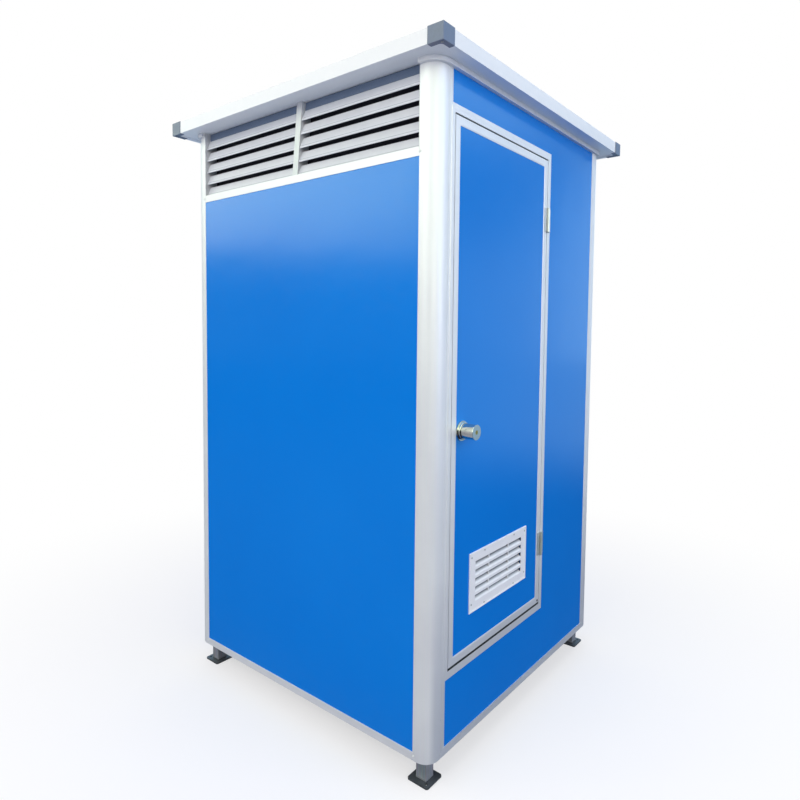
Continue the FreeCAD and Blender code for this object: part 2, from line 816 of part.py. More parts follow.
def roof_edge():
    """Mitred C channel along the front of the roof."""
    wall = roof_sheet
    edge = -roof_half
    section = [(0, roof_bottom), (roof_lip, roof_bottom), (roof_lip, roof_bottom + wall),
               (wall, roof_bottom + wall), (wall, roof_top - wall), (roof_lip, roof_top - wall),
               (roof_lip, roof_top), (0, roof_top)]
    channel = prism([Vector(-roof_half, edge + y, z) for y, z in section], Vector(2 * roof_half, 0, 0))
    reach = roof_half - roof_lip
    mitre = upright([(-roof_half, edge), (roof_half, edge), (reach, -reach), (-reach, -reach)],
                    roof_bottom, roof_top)
    return channel.common(mitre)


def roof_panel():
    """Roof panel inside the edge channels."""
    edge = roof_half - roof_sheet - panel_edge_clearance
    return box(-edge, edge, -edge, edge, roof_bottom + roof_sheet, roof_top - roof_sheet)


def corner_cap():
    """Cap over one roof corner: two sides, a top and a bottom flange with a curved inner corner."""
    out = -roof_half - cap_sheet
    end = -roof_half + cap_size
    low = roof_bottom - cap_sheet
    high = roof_top + cap_sheet
    shell = box(out, end, out, end, low, high)
    shell = shell.cut(box(-roof_half, end, -roof_half, end, roof_bottom, roof_top))
    inner = -roof_half + cap_flange
    notch = box(inner, end, inner, end, low, roof_bottom)
    return shell.cut(rounded_corner(notch, inner, inner, cap_flange_radius)).removeSplitter()


def squat_pan():
    """Ceramic squat pan: a rim on the floor, a hung bowl, foot treads and an outlet spigot."""
    rim_top = floor_top + pan_rim
    rim_outline = rounded_rectangle(pan_middle, pan_width, pan_length, pan_corner, floor_top)
    rim = Part.Face(rim_outline).extrude(Vector(0, 0, pan_rim))
    outside = pan_hollow(pan_wall, floor_top)
    inside = pan_hollow(0, rim_top)
    down = Vector(0, 0, -1)
    spigot_radius = soil_pipe_radius - soil_pipe_wall - pipe_fit
    spigot = rod(spigot_radius, Vector(0, outlet_y, well_foot), down, spigot_length)
    depth = well_depth + pan_wall + spigot_length
    outlet = rod(outlet_radius, Vector(0, outlet_y, bowl_foot), down, depth)
    pan = rim.fuse([outside, spigot] + treads(rim_top))
    return pan.cut([inside, outlet]).removeSplitter()


def pan_hollow(wall, top):
    """Shallow bowl with a round well at its back, this much larger all round than its hollow."""
    bottom = bowl_foot - wall
    outline = rounded_rectangle(bowl_middle, bowl_width + 2 * wall, bowl_length + 2 * wall,
                                bowl_corner + wall, bottom)
    bowl = Part.Face(outline).extrude(Vector(0, 0, top - bottom))
    well = rod(well_radius + wall, Vector(0, outlet_y, bottom), Vector(0, 0, -1), well_depth)
    return bowl.fuse(well)


def treads(level):
    """Raised foot rests beside the bowl."""
    outer = pan_width / 2 - tread_inset
    y0 = pan_middle - tread_length / 2
    tread = box(outer - tread_width, outer, y0, y0 + tread_length, level, level + tread_height)
    return [tread, turned_half(tread)]


def soil_pipe():
    """Waste pipe over the pan's spigot, down to its open end below the walls."""
    start = Vector(0, outlet_y, soil_pipe_foot)
    length = well_foot - soil_pipe_foot
    pipe = rod(soil_pipe_radius, start, Vector(0, 0, 1), length)
    return pipe.cut(rod(soil_pipe_radius - soil_pipe_wall, start, Vector(0, 0, 1), length))


def flush_pipe():
    """Pipe from the cistern down to the back of the pan."""
    start = Vector(0, pan_back - flush_inlet_inset, floor_top + pan_rim)
    length = cistern_bottom - start.z
    pipe = rod(flush_pipe_radius, start, Vector(0, 0, 1), length)
    return pipe.cut(rod(flush_pipe_radius - flush_pipe_wall, start, Vector(0, 0, 1), length))


def cistern():
    """Cistern on the back wall with its water inlet, and a lid with the button's well."""
    back = wall_inside
    ahead = back - cistern_depth
    side = cistern_width / 2
    over = lid_overlap
    tank = box(-side, side, ahead, back, cistern_bottom, lid_bottom)
    lid = box(-side - over, side + over, ahead - over, back, lid_bottom, lid_top)
    for x in (-side, side):
        tank = rounded_corner(tank, x, ahead, cistern_corner)
    for x in (-side - over, side + over):
        lid = rounded_corner(lid, x, ahead - over, cistern_corner + over)
    depth = button_length - button_proud + button_travel + button_room
    well = button_block(0, lid_top - depth, lid_top)
    return [tank.cut(well), lid.cut(well), water_inlet()]


def water_inlet():
    """Tail of the inlet valve through the back wall, with its nut and threaded end outside."""
    out = Vector(0, 1, 0)
    start = Vector(-inlet_offset, wall_inside, lid_bottom - inlet_drop)
    outside = start + out * panel_thickness
    size = inlet_nut_size / 2
    nut = box(start.x - size, start.x + size, outside.y, outside.y + inlet_nut_height,
              start.z - size, start.z + size)
    tail = rod(inlet_tail_radius, start, out, panel_thickness)
    end = rod(inlet_radius, outside, out, inlet_nut_height + inlet_length)
    return nut.fuse([tail, end]).removeSplitter()


def inlet_hole():
    """Hole in the back wall's panel round the tail of the water inlet."""
    start = Vector(-inlet_offset, wall_inside, lid_bottom - inlet_drop)
    return rod(inlet_tail_radius + inlet_hole_room, start, Vector(0, 1, 0), panel_thickness)


def button_block(inset, z0, z1):
    """Plan area of the flush button in the middle of the lid, smaller all round by an inset."""
    middle = wall_inside - cistern_depth / 2
    wide = button_width / 2 - inset
    deep = button_depth / 2 - inset
    return box(-wide, wide, middle - deep, middle + deep, z0, z1)


def flush_button():
    """Push button in the cistern's lid."""
    top = lid_top + button_proud
    return button_block(running_clearance, top - button_length, top)


def ceiling_lamp():
    """Square lamp under the roof, with bevelled lower edges."""
    side = lamp_size / 2
    foot = wall_top - lamp_height
    body = box(-side, side, -side, side, foot, wall_top)
    edges = [edge for edge in body.Edges if all(abs(v.Z - foot) < 0.01 for v in edge.Vertexes)]
    return [body.makeChamfer(lamp_edge, edges)]


def switch_pocket():
    """Window in the switch plate, down to its floor."""
    x0 = -wall_inside + switch_floor
    wide = rocker_width / 2 + rocker_clearance
    tall = rocker_height / 2 + 2 * rocker_clearance
    y, z = switch_place()
    return box(x0, -wall_inside + switch_plate_depth, y - wide, y + wide, z - tall, z + tall)


def switch_place():
    """Y and Z of the middle of the switch, on the left wall near the door."""
    return front(switch_from_front), floor_top + switch_rise


def switch_plate():
    """Wall plate with a window for the rocker."""
    y, z = switch_place()
    reach = switch_plate_size / 2
    x1 = -wall_inside + switch_plate_depth
    plate = box(-wall_inside, x1, y - reach, y + reach, z - reach, z + reach)
    face_edges = [edge for edge in plate.Edges if all(abs(v.X - x1) < 0.01 for v in edge.Vertexes)]
    plate = plate.makeChamfer(switch_plate_edge, face_edges)
    return plate.cut([switch_pocket(), switch_axle(running_clearance)])


def switch_axle(room):
    """Axle of the rocker, thicker and longer by some room for its bearings in the plate."""
    y, z = switch_place()
    reach = rocker_width / 2 + rocker_axle_reach + room
    start = Vector(-wall_inside + rocker_pivot, y - reach, z)
    return rod(rocker_axle_radius + room, start, Vector(0, 1, 0), 2 * reach)


def switch_rocker():
    """Rocker on its axle in its off position, with a shallow valley across its face."""
    y, z = switch_place()
    pivot = Vector(-wall_inside + rocker_pivot, y, z)
    tall = rocker_height / 2
    outline = [(-rocker_back, -tall), (rocker_front, -tall), (rocker_waist, 0), (rocker_front, tall),
               (-rocker_back, tall)]
    corners = [pivot + Vector(x, -rocker_width / 2, up) for x, up in outline]
    rocker = prism(corners, Vector(0, rocker_width, 0))
    rocker.rotate(pivot, Vector(0, 1, 0), -rocker_tilt)
    return rocker.fuse(switch_axle(0)).removeSplitter()


def side_walls():
    """Panel, mid rail and louver of both side walls."""
    low = wall_bottom + profile_wall
    high = mid_rail_top - profile_wall - panel_edge_clearance
    panel = wall_panel(-half + panel_end, half - panel_end, low, high)
    rail = channel_rail(mid_rail_top - rail_height, rail_height, False)
    save("panel_left", [turned(panel, 3)])
    save("panel_right", [turned(panel, 1)])
    save("mid_rails", [turned(rail, 3), turned(rail, 1)])
    left_blades, left_mullion, plates = louver(left_mullion_shift, left_mullion_lean)
    right_blades, right_mullion, plates = louver(0, 0)
    save("louver_blades_left", [turned(blade, 3) for blade in left_blades])
    save("louver_blades_right", [turned(blade, 1) for blade in right_blades])
    save("louver_mullions", [turned(left_mullion, 3), turned(right_mullion, 1)])
    save("louver_frames", [turned(plate, quarters) for plate in plates for quarters in (3, 1)])


def end_walls():
    """Panels and top rails of the front and back walls."""
    low = wall_bottom + profile_wall
    high = wall_top - profile_wall - panel_edge_clearance
    back = wall_panel(-half + panel_end, half - panel_end, low, high)
    save("panel_back", [turned(back, 2).cut(inlet_hole())])
    save("top_rail_front", [top_rail()])
    save("top_rail_back", [turned(top_rail(), 2)])
    channel_floor = flange_reach + profile_wall + panel_edge_clearance
    seam = frame_right - slot_depth + panel_edge_clearance
    left = -half + channel_floor
    held = slot_depth - panel_edge_clearance
    save("panel_front_side", [wall_panel(seam, half - channel_floor, low, high)])
    save("panel_front_lower", [wall_panel(left, seam, low, frame_bottom + held)])
    save("panel_front_header", [wall_panel(left, seam, frame_top - held, high)])
    rail_top = wall_bottom + rail_height
    channels = [edge_channel(rail_top, frame_bottom), edge_channel(frame_top, strip_bottom),
                turned_half(edge_channel(rail_top, strip_bottom))]
    save("front_edge_channels", channels)


def door():
    """Door frame, leaf and all that is on them."""
    frame = door_frame()
    wall = profile_wall
    jamb = frame["left"].cut(strike_opening(opening_left - wall, opening_left))
    save("door_jamb_latch", [jamb])
    save("door_jamb_hinge", [frame["right"]])
    save("door_sill", [frame["bottom"]])
    save("door_head", [frame["top"]])
    save("door_stops", door_stops())
    save("strike_plate", [strike_plate()])
    leaf = leaf_frame()
    save("door_stile_latch", [leaf["left"].cut(latch_plate())])
    save("door_stile_hinge", [leaf["right"]])
    save("door_rail_bottom", [leaf["bottom"]])
    save("door_rail_top", [leaf["top"]])
    save("door_panel", [door_panel()])
    save("vent_grilles", vent_grilles())
    frame_knuckles = range(0, knuckle_count, 2)
    leaf_knuckles = range(1, knuckle_count, 2)
    save("hinge_frame_leaves", [hinge_leaf(level, 1, frame_knuckles) for level in hinge_levels])
    save("hinge_door_leaves", [hinge_leaf(level, -1, leaf_knuckles) for level in hinge_levels])
    save("hinge_pins", [hinge_pin(level) for level in hinge_levels])
    save("lock_roses", [lock_rose(), to_inside(lock_rose())])
    save("latch_case", [latch_case()])
    save("latch_bolt", [latch_bolt()])
    save("knobs", [knob_outer(), knob_inner()])
    save("key_plug", [key_plug()])
    save("turn_button", [turn_button()])


def structure():
    """Legs, beams, floor, bottom rails and corner posts."""
    save("legs", legs())
    save("base_beams", beam_ring(wall_bottom))
    save("floor_frame", floor_frame())
    save("floor_panel", [floor_panel()])
    save("bottom_rails", on_each_side(channel_rail(wall_bottom, rail_height, True)))
    post_names = ("post_front_left", "post_front_right", "post_back_right", "post_back_left")
    for name, post in zip(post_names, on_each_side(corner_post())):
        save(name, [post])


def roof():
    """Roof panel, its edge channels and the corner caps."""
    save("roof_panel", [roof_panel()])
    edge_names = ("roof_edge_front", "roof_edge_right", "roof_edge_back", "roof_edge_left")
    for name, edge in zip(edge_names, on_each_side(roof_edge())):
        save(name, [edge])
    save("roof_corner_caps", on_each_side(corner_cap()))


def fittings():
    """Sanitary fittings, lamp and switch."""
    save("squat_pan", [squat_pan()])
    save("soil_pipe", [soil_pipe()])
    save("flush_pipe", [flush_pipe()])
    save("cistern", cistern())
    save("flush_button", [flush_button()])
    save("ceiling_lamp", ceiling_lamp())
    save("switch_plate", [switch_plate()])
    save("switch_rocker", [switch_rocker()])


os.makedirs("parts", exist_ok=True)
structure()
side_walls()
end_walls()
door()
roof()
fittings()
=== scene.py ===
import bpy
import math
from mathutils import Matrix, Vector


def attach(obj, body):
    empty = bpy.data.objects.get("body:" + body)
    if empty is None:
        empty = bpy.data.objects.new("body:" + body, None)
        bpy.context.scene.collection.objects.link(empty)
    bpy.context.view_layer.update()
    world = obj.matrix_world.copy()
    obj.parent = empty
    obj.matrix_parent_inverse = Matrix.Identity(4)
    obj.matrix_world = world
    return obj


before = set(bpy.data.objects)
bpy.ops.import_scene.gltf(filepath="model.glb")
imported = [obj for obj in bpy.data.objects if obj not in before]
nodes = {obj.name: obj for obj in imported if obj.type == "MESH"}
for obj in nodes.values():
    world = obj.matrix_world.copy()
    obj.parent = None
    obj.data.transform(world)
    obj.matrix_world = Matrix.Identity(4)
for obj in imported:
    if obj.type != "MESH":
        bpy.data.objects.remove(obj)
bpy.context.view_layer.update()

# Camera
# The photograph was taken by hand at chest height, about two metres from the near corner post,
# with a wide lens. The eye point, angles and lens were worked out from the cabin's edges.
eye = Vector((-2.0845, -1.6899, 1.4438))
heading = math.radians(38.721)
tilt_down = math.radians(3.233)
roll = math.radians(0.602)
focal_pixels = 604.52
image_centre = (406.38, 366.58)
image_size = 800
ahead = Vector((math.cos(tilt_down) * math.cos(heading), math.cos(tilt_down) * math.sin(heading),
                -math.sin(tilt_down)))
level_right = Vector((math.sin(heading), -math.cos(heading), 0))
level_up = level_right.cross(ahead)
camera_right = math.cos(roll) * level_right + math.sin(roll) * level_up
camera_up = camera_right.cross(ahead)
turn = Matrix((camera_right, camera_up, -ahead)).transposed()
bpy.ops.object.camera_add()
camera = bpy.context.object
camera.matrix_world = Matrix.Translation(eye) @ turn.to_4x4()
camera.data.sensor_width = 36
camera.data.lens = focal_pixels / image_size * camera.data.sensor_width
camera.data.shift_x = (image_size / 2 - image_centre[0]) / image_size
camera.data.shift_y = (image_centre[1] - image_size / 2) / image_size
bpy.context.scene.camera = camera

# Studio
# A pale floor that fades to the white background, broad soft lamps high on the side of the
# louvered wall, weaker ones before the door and the near post, and a wide one overhead.


def hex_colour(code):
    """Linear colour of an sRGB hex value such as 1a73d8."""
    parts = [int(code[i:i + 2], 16) / 255 for i in (0, 2, 4)]
    return [p / 12.92 if p <= 0.04045 else ((p + 0.055) / 1.055) ** 2.4 for p in parts] + [1]


def add_node(owner, kind, inputs, **attributes):
    """One shader node with its attributes, its values and its incoming links."""
    node = owner.node_tree.nodes.new(kind)
    for name, value in attributes.items():
        setattr(node, name, value)
    for name, value in inputs.items():
        if isinstance(value, bpy.types.NodeSocket):
            owner.node_tree.links.new(value, node.inputs[name])
        else:
            node.inputs[name].default_value = value
    return node


bpy.context.scene.view_settings.view_transform = "Standard"
world = bpy.data.worlds.new("studio")
world.use_nodes = True
world.node_tree.nodes.clear()
bpy.context.scene.world = world
rays = add_node(world, "ShaderNodeLightPath", {})
seen = add_node(world, "ShaderNodeMath", {
    0: rays.outputs["Is Camera Ray"], 1: rays.outputs["Is Transmission Ray"]},
    operation="MAXIMUM")
direction = add_node(world, "ShaderNodeTexCoord", {})
ray_axes = add_node(world, "ShaderNodeSeparateXYZ", {0: direction.outputs["Generated"]})

# Mirrored rays from the louvered wall meet a dark skyline and bright sky above it. Those from
# the door's wall meet a bright haze at the horizon that deepens upwards and pales again overhead
# and far to the right.
forward = add_node(world, "ShaderNodeMapRange", {
    "Value": ray_axes.outputs["X"], "From Min": -0.3, "From Max": 0.2})
side_sky = add_node(world, "ShaderNodeMapRange", {
    "Value": ray_axes.outputs["Z"], "From Min": 0.07, "From Max": 0.25,
    "To Min": 0.15, "To Max": 2.3}, interpolation_type="SMOOTHSTEP")
front_sky = add_node(world, "ShaderNodeMapRange", {
    "Value": ray_axes.outputs["Z"], "From Min": 0.07, "From Max": 0.22,
    "To Min": 1.0, "To Max": 0.42}, interpolation_type="SMOOTHSTEP")
high_sky = add_node(world, "ShaderNodeMapRange", {
    "Value": ray_axes.outputs["Z"], "From Min": 0.26, "From Max": 0.38,
    "To Min": 0.0, "To Max": 1.8}, interpolation_type="SMOOTHSTEP")
right_glow = add_node(world, "ShaderNodeMapRange", {
    "Value": ray_axes.outputs["X"], "From Min": 0.875, "From Max": 0.91,
    "To Min": 0.0, "To Max": 1.6})
front_lit = add_node(world, "ShaderNodeMath", {
    0: front_sky.outputs["Result"], 1: high_sky.outputs["Result"]}, operation="ADD")
front_side = add_node(world, "ShaderNodeMath", {
    0: front_lit.outputs[0], 1: right_glow.outputs["Result"]}, operation="MAXIMUM")
sky = add_node(world, "ShaderNodeMix", {
    "Factor": forward.outputs["Result"], 2: side_sky.outputs["Result"], 3: front_side.outputs[0]},
    data_type="FLOAT")
haze_blue = "b8e0ff"
sky_tint = add_node(world, "ShaderNodeMix", {
    "Factor": forward.outputs["Result"], 6: hex_colour("e0ffdc"), 7: hex_colour(haze_blue)},
    data_type="RGBA")
fill = add_node(world, "ShaderNodeBackground", {"Color": hex_colour("e8f0ff"), "Strength": 0.6})
mirrored_room = add_node(world, "ShaderNodeBackground", {
    "Color": sky_tint.outputs[2], "Strength": sky.outputs[0]})
backdrop = add_node(world, "ShaderNodeBackground", {
    "Color": hex_colour("ffffff"), "Strength": 1.0})
glossy = add_node(world, "ShaderNodeMixShader", {
    "Fac": rays.outputs["Is Glossy Ray"], 1: fill.outputs[0], 2: mirrored_room.outputs[0]})
shown = add_node(world, "ShaderNodeMixShader", {
    "Fac": seen.outputs[0], 1: glossy.outputs[0], 2: backdrop.outputs[0]})
add_node(world, "ShaderNodeOutputWorld", {"Surface": shown.outputs[0]})

bpy.ops.mesh.primitive_circle_add(vertices=96, radius=30, fill_type="NGON")
floor = bpy.context.object
floor.name = "studio_floor"
pale = bpy.data.materials.new("pale matte floor")
pale.use_nodes = True
pale.node_tree.nodes.clear()
place = add_node(pale, "ShaderNodeTexCoord", {})
floor_axes = add_node(pale, "ShaderNodeSeparateXYZ", {0: place.outputs["Object"]})
grain = add_node(pale, "ShaderNodeTexNoise", {
    "Vector": place.outputs["Object"], "Scale": 60, "Detail": 4})
concrete = add_node(pale, "ShaderNodeMix", {
    "Factor": grain.outputs["Fac"], 6: hex_colour("bcc4d2"), 7: hex_colour("cad0dc")},
    data_type="RGBA")

# The ground before the door throws less light up at the wall and the underside of the roof.
ahead_of_door = add_node(pale, "ShaderNodeMapRange", {
    "Value": floor_axes.outputs["Y"], "From Min": -0.3, "From Max": -1.3})
beside_post = add_node(pale, "ShaderNodeMapRange", {
    "Value": floor_axes.outputs["X"], "From Min": -1.5, "From Max": -0.8})
darkened = add_node(pale, "ShaderNodeMath", {
    0: ahead_of_door.outputs["Result"], 1: beside_post.outputs["Result"]}, operation="MULTIPLY")
ground = add_node(pale, "ShaderNodeMix", {
    "Factor": darkened.outputs[0], 6: concrete.outputs[2], 7: hex_colour("4c556e")},
    data_type="RGBA")

# Mirrored rays see a dark ground. The camera sees a pale one that whitens outwards.
floor_rays = add_node(pale, "ShaderNodeLightPath", {})
mirrored = add_node(pale, "ShaderNodeMix", {
    "Factor": floor_rays.outputs["Is Glossy Ray"], 6: ground.outputs[2],
    7: hex_colour("3a3f49")}, data_type="RGBA")
direct = add_node(pale, "ShaderNodeMath", {
    0: floor_rays.outputs["Is Camera Ray"], 1: floor_rays.outputs["Is Transmission Ray"]},
    operation="MAXIMUM")
tone = add_node(pale, "ShaderNodeMix", {
    "Factor": direct.outputs[0], 6: mirrored.outputs[2], 7: hex_colour("f8f8f8")},
    data_type="RGBA")
matte = add_node(pale, "ShaderNodeBsdfDiffuse", {"Color": tone.outputs[2]})
white = add_node(pale, "ShaderNodeEmission", {"Color": hex_colour("ffffff"), "Strength": 1.0})
reach = add_node(pale, "ShaderNodeVectorMath", {0: place.outputs["Object"]}, operation="LENGTH")
fade = add_node(pale, "ShaderNodeMapRange", {
    "Value": reach.outputs["Value"], "From Min": 0.7, "From Max": 3.0,
    "To Min": 0.55, "To Max": 1.0}, interpolation_type="SMOOTHSTEP")
amount = add_node(pale, "ShaderNodeMath", {
    0: direct.outputs[0], 1: fade.outputs["Result"]}, operation="MULTIPLY")
shown_floor = add_node(pale, "ShaderNodeMixShader", {
    "Fac": amount.outputs[0], 1: matte.outputs[0], 2: white.outputs[0]})

# In mirrored rays the far floor before the door's wall brightens into the haze.
far_off = add_node(pale, "ShaderNodeMapRange", {
    "Value": reach.outputs["Value"], "From Min": 3.0, "From Max": 7.0},
    interpolation_type="SMOOTHSTEP")
before_door = add_node(pale, "ShaderNodeMapRange", {
    "Value": floor_axes.outputs["X"], "From Min": -1.0, "From Max": 2.0})
haze_place = add_node(pale, "ShaderNodeMath", {
    0: far_off.outputs["Result"], 1: before_door.outputs["Result"]}, operation="MULTIPLY")
haze_seen = add_node(pale, "ShaderNodeMath", {
    0: haze_place.outputs[0], 1: floor_rays.outputs["Is Glossy Ray"]}, operation="MULTIPLY")
haze = add_node(pale, "ShaderNodeEmission", {"Color": hex_colour(haze_blue), "Strength": 0.9})
surface = add_node(pale, "ShaderNodeMixShader", {
    "Fac": haze_seen.outputs[0], 1: shown_floor.outputs[0], 2: haze.outputs[0]})
add_node(pale, "ShaderNodeOutputMaterial", {"Surface": surface.outputs[0]})
floor.data.materials.append(pale)


def soft_lamp(name, place, size, power, colour):
    """Square area lamp that faces the middle of the cabin."""
    bpy.ops.object.light_add(type="AREA", location=place)
    lamp = bpy.context.object
    lamp.name = name
    lamp.data.size = size
    lamp.data.energy = power
    lamp.data.color = hex_colour(colour)[:3]
    aim = Vector((0, 0, 1.1)) - Vector(place)
    lamp.rotation_euler = aim.to_track_quat("-Z", "Y").to_euler()


soft_lamp("side_lamp", (-4.6, 0.2, 3.2), 3.2, 71, "fff6ee")
soft_lamp("far_lamp", (-4.4, 4.8, 4.6), 4.4, 95, "fff6f0")
soft_lamp("door_lamp", (0.6, -5.0, 2.6), 3.0, 90, "e4ebfb")
soft_lamp("corner_lamp", (-3.2, -4.4, 2.8), 2.6, 60, "fff2de")
soft_lamp("top_lamp", (0.5, -0.5, 5.6), 4.0, 60, "ffffff")

# Steel legs and beams
# Square tube legs on foot plates, the beams under the walls and the frame that carries the
# raised floor are welded mild steel, sprayed with grey primer. The foot plates are bare.


def start_material(name):
    """New material with a Principled shader; returns it, the shader and its coordinates."""
    made = bpy.data.materials.new(name)
    made.use_nodes = True
    made.node_tree.nodes.clear()
    shader = add_node(made, "ShaderNodeBsdfPrincipled", {})
    add_node(made, "ShaderNodeOutputMaterial", {"Surface": shader.outputs[0]})
    coords = add_node(made, "ShaderNodeTexCoord", {})
    return made, shader, coords.outputs["Object"]


def join(material, source, socket):
    """Link from an output to an input."""
    material.node_tree.links.new(source, socket)


def dress(material, *names):
    """Gives CAD nodes their finish."""
    for name in names:
        nodes[name].data.materials.clear()
        nodes[name].data.materials.append(material)


leg_centre = 0.567
plate_top = 0.006

# The primer is cloudy, with a fine sprayed grain.
primer, shader, spot = start_material("sprayed grey primer on steel")
mottle = add_node(primer, "ShaderNodeTexNoise", {
    "Vector": spot, "Scale": 38, "Detail": 6, "Roughness": 0.65})
shade = add_node(primer, "ShaderNodeMix", {
    "Factor": mottle.outputs["Fac"], 6: hex_colour("6d7077"), 7: hex_colour("93969f")},
    data_type="RGBA")
# Draw marks run down the tubes about 4 mm apart, and the plates are dark with mill scale.
drawn = add_node(primer, "ShaderNodeMapping", {"Vector": spot, "Scale": (1, 1, 0.03)})
streaks = add_node(primer, "ShaderNodeTexNoise", {
    "Vector": drawn.outputs[0], "Scale": 240, "Detail": 2})
streaked = add_node(primer, "ShaderNodeMix", {
    "Factor": 0.35, 6: shade.outputs[2], 7: streaks.outputs["Color"]},
    data_type="RGBA", blend_type="OVERLAY")
height = add_node(primer, "ShaderNodeSeparateXYZ", {0: spot})
plate = add_node(primer, "ShaderNodeMath", {0: height.outputs["Z"], 1: plate_top + 0.0002},
                 operation="LESS_THAN")
scale_tone = add_node(primer, "ShaderNodeMix", {
    "Factor": mottle.outputs["Fac"], 6: hex_colour("2a2d31"), 7: hex_colour("55595f")},
    data_type="RGBA")
leg_tone = add_node(primer, "ShaderNodeMix", {
    "Factor": plate.outputs[0], 6: streaked.outputs[2], 7: scale_tone.outputs[2]},
    data_type="RGBA")
scuff = add_node(primer, "ShaderNodeMapRange", {
    "Value": mottle.outputs["Fac"], "From Min": 0.35, "From Max": 0.7,
    "To Min": 0.42, "To Max": 0.62})
spray = add_node(primer, "ShaderNodeTexNoise", {"Vector": spot, "Scale": 900, "Detail": 2})
pores = add_node(primer, "ShaderNodeBump", {
    "Strength": 0.25, "Distance": 0.0003, "Height": spray.outputs["Fac"]})
join(primer, leg_tone.outputs[2], shader.inputs["Base Color"])
join(primer, scuff.outputs["Result"], shader.inputs["Roughness"])
join(primer, pores.outputs[0], shader.inputs["Normal"])
shader.inputs["Metallic"].default_value = 0.1
dress(primer, "legs", "base_beams", "floor_frame")


def finish_piece(piece, name, material, body):
    """Names a modelled piece, applies its place and modifiers, gives it a finish and a body."""
    bpy.ops.object.select_all(action="DESELECT")
    piece.select_set(True)
    bpy.context.view_layer.objects.active = piece
    bpy.ops.object.transform_apply(location=True, rotation=True, scale=True)
    for modifier in list(piece.modifiers):
        bpy.ops.object.modifier_apply(modifier=modifier.name)
    bpy.ops.object.shade_smooth_by_angle(angle=math.radians(35))
    piece.name = name
    piece.data.name = name
    piece.data.materials.clear()
    piece.data.materials.append(material)
    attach(piece, body)


def select_faces(piece, test):
    """Enters edit mode with the faces selected whose centre and normal pass a test."""
    bpy.ops.object.mode_set(mode="OBJECT")
    for face in piece.data.polygons:
        face.select = test(face.center, face.normal)
    bpy.ops.object.mode_set(mode="EDIT")


def start_block(low, high):
    """Block between two corners, as the active object."""
    bpy.ops.object.select_all(action="DESELECT")
    middle = [(a + b) / 2 for a, b in zip(low, high)]
    size = [b - a for a, b in zip(low, high)]
    bpy.ops.mesh.primitive_cube_add(size=1, location=middle, scale=size)
    piece = bpy.context.object
    bpy.ops.object.transform_apply(location=True, rotation=True, scale=True)
    bpy.ops.object.mode_set(mode="EDIT")
    bpy.ops.mesh.select_mode(type="FACE")
    bpy.ops.object.mode_set(mode="OBJECT")
    return piece


def soften(piece, width):
    """Rounded edges, as a modifier that is applied later."""
    bevel = piece.modifiers.new("soft edges", "BEVEL")
    bevel.width = width
    bevel.segments = 3
    bevel.limit_method = "ANGLE"


def spread(model, places):
    """Copies of a model joined as one; each place is a position and the way its top faces."""
    copies = []
    for position, facing in places:
        twin = model.copy()
        twin.data = model.data.copy()
        bpy.context.collection.objects.link(twin)
        aim = Vector((0, 0, 1)).rotation_difference(Vector(facing)).to_matrix().to_4x4()
        twin.data.transform(Matrix.Translation(position) @ aim)
        copies.append(twin)
    bpy.data.objects.remove(model)
    bpy.ops.object.select_all(action="DESELECT")
    for twin in copies:
        twin.select_set(True)
    bpy.context.view_layer.objects.active = copies[0]
    bpy.ops.object.join()
    return copies[0]


def one_noise_finish(name, pattern, tones, relief, roughness):
    """Finish whose tone and relief follow one noise, of a scale and a detail.

    The relief is a strength and a depth in metres.
    """
    made, shader, spot = start_material(name)
    scale, detail = pattern
    strength, depth = relief
    noise = add_node(made, "ShaderNodeTexNoise", {
        "Vector": spot, "Scale": scale, "Detail": detail})
    tone = add_node(made, "ShaderNodeMix", {
        "Factor": noise.outputs["Fac"], 6: hex_colour(tones[0]), 7: hex_colour(tones[1])},
        data_type="RGBA")
    bumps = add_node(made, "ShaderNodeBump", {
        "Strength": strength, "Distance": depth, "Height": noise.outputs["Fac"]})
    join(made, tone.outputs[2], shader.inputs["Base Color"])
    join(made, bumps.outputs[0], shader.inputs["Normal"])
    shader.inputs["Roughness"].default_value = roughness
    return made


# Each leg is welded to its foot plate all round: a fillet 5 mm high that narrows upwards. Its
# ripples, about 3 mm apart, catch the light.
weld = start_block((-0.0255, -0.0255, 0), (0.0255, 0.0255, 0.005))
select_faces(weld, lambda centre, normal: normal.z > 0.9)
bpy.ops.transform.resize(value=(0.82, 0.82, 1))
bpy.ops.object.mode_set(mode="OBJECT")
soften(weld, 0.0015)
ends = (-leg_centre, leg_centre)
welds = spread(weld, [((x, y, plate_top), (0, 0, 1)) for x in ends for y in ends])
bead = one_noise_finish("painted weld bead", (320, 4), ("63666c", "82858d"), (0.8, 0.001), 0.5)
finish_piece(welds, "weld_beads", bead, "cabin")

# Corner posts and rails
# The rounded corner posts, the rails under and over the panels, the top strip and the edge
# channels are extruded aluminium, etched and clear anodised.


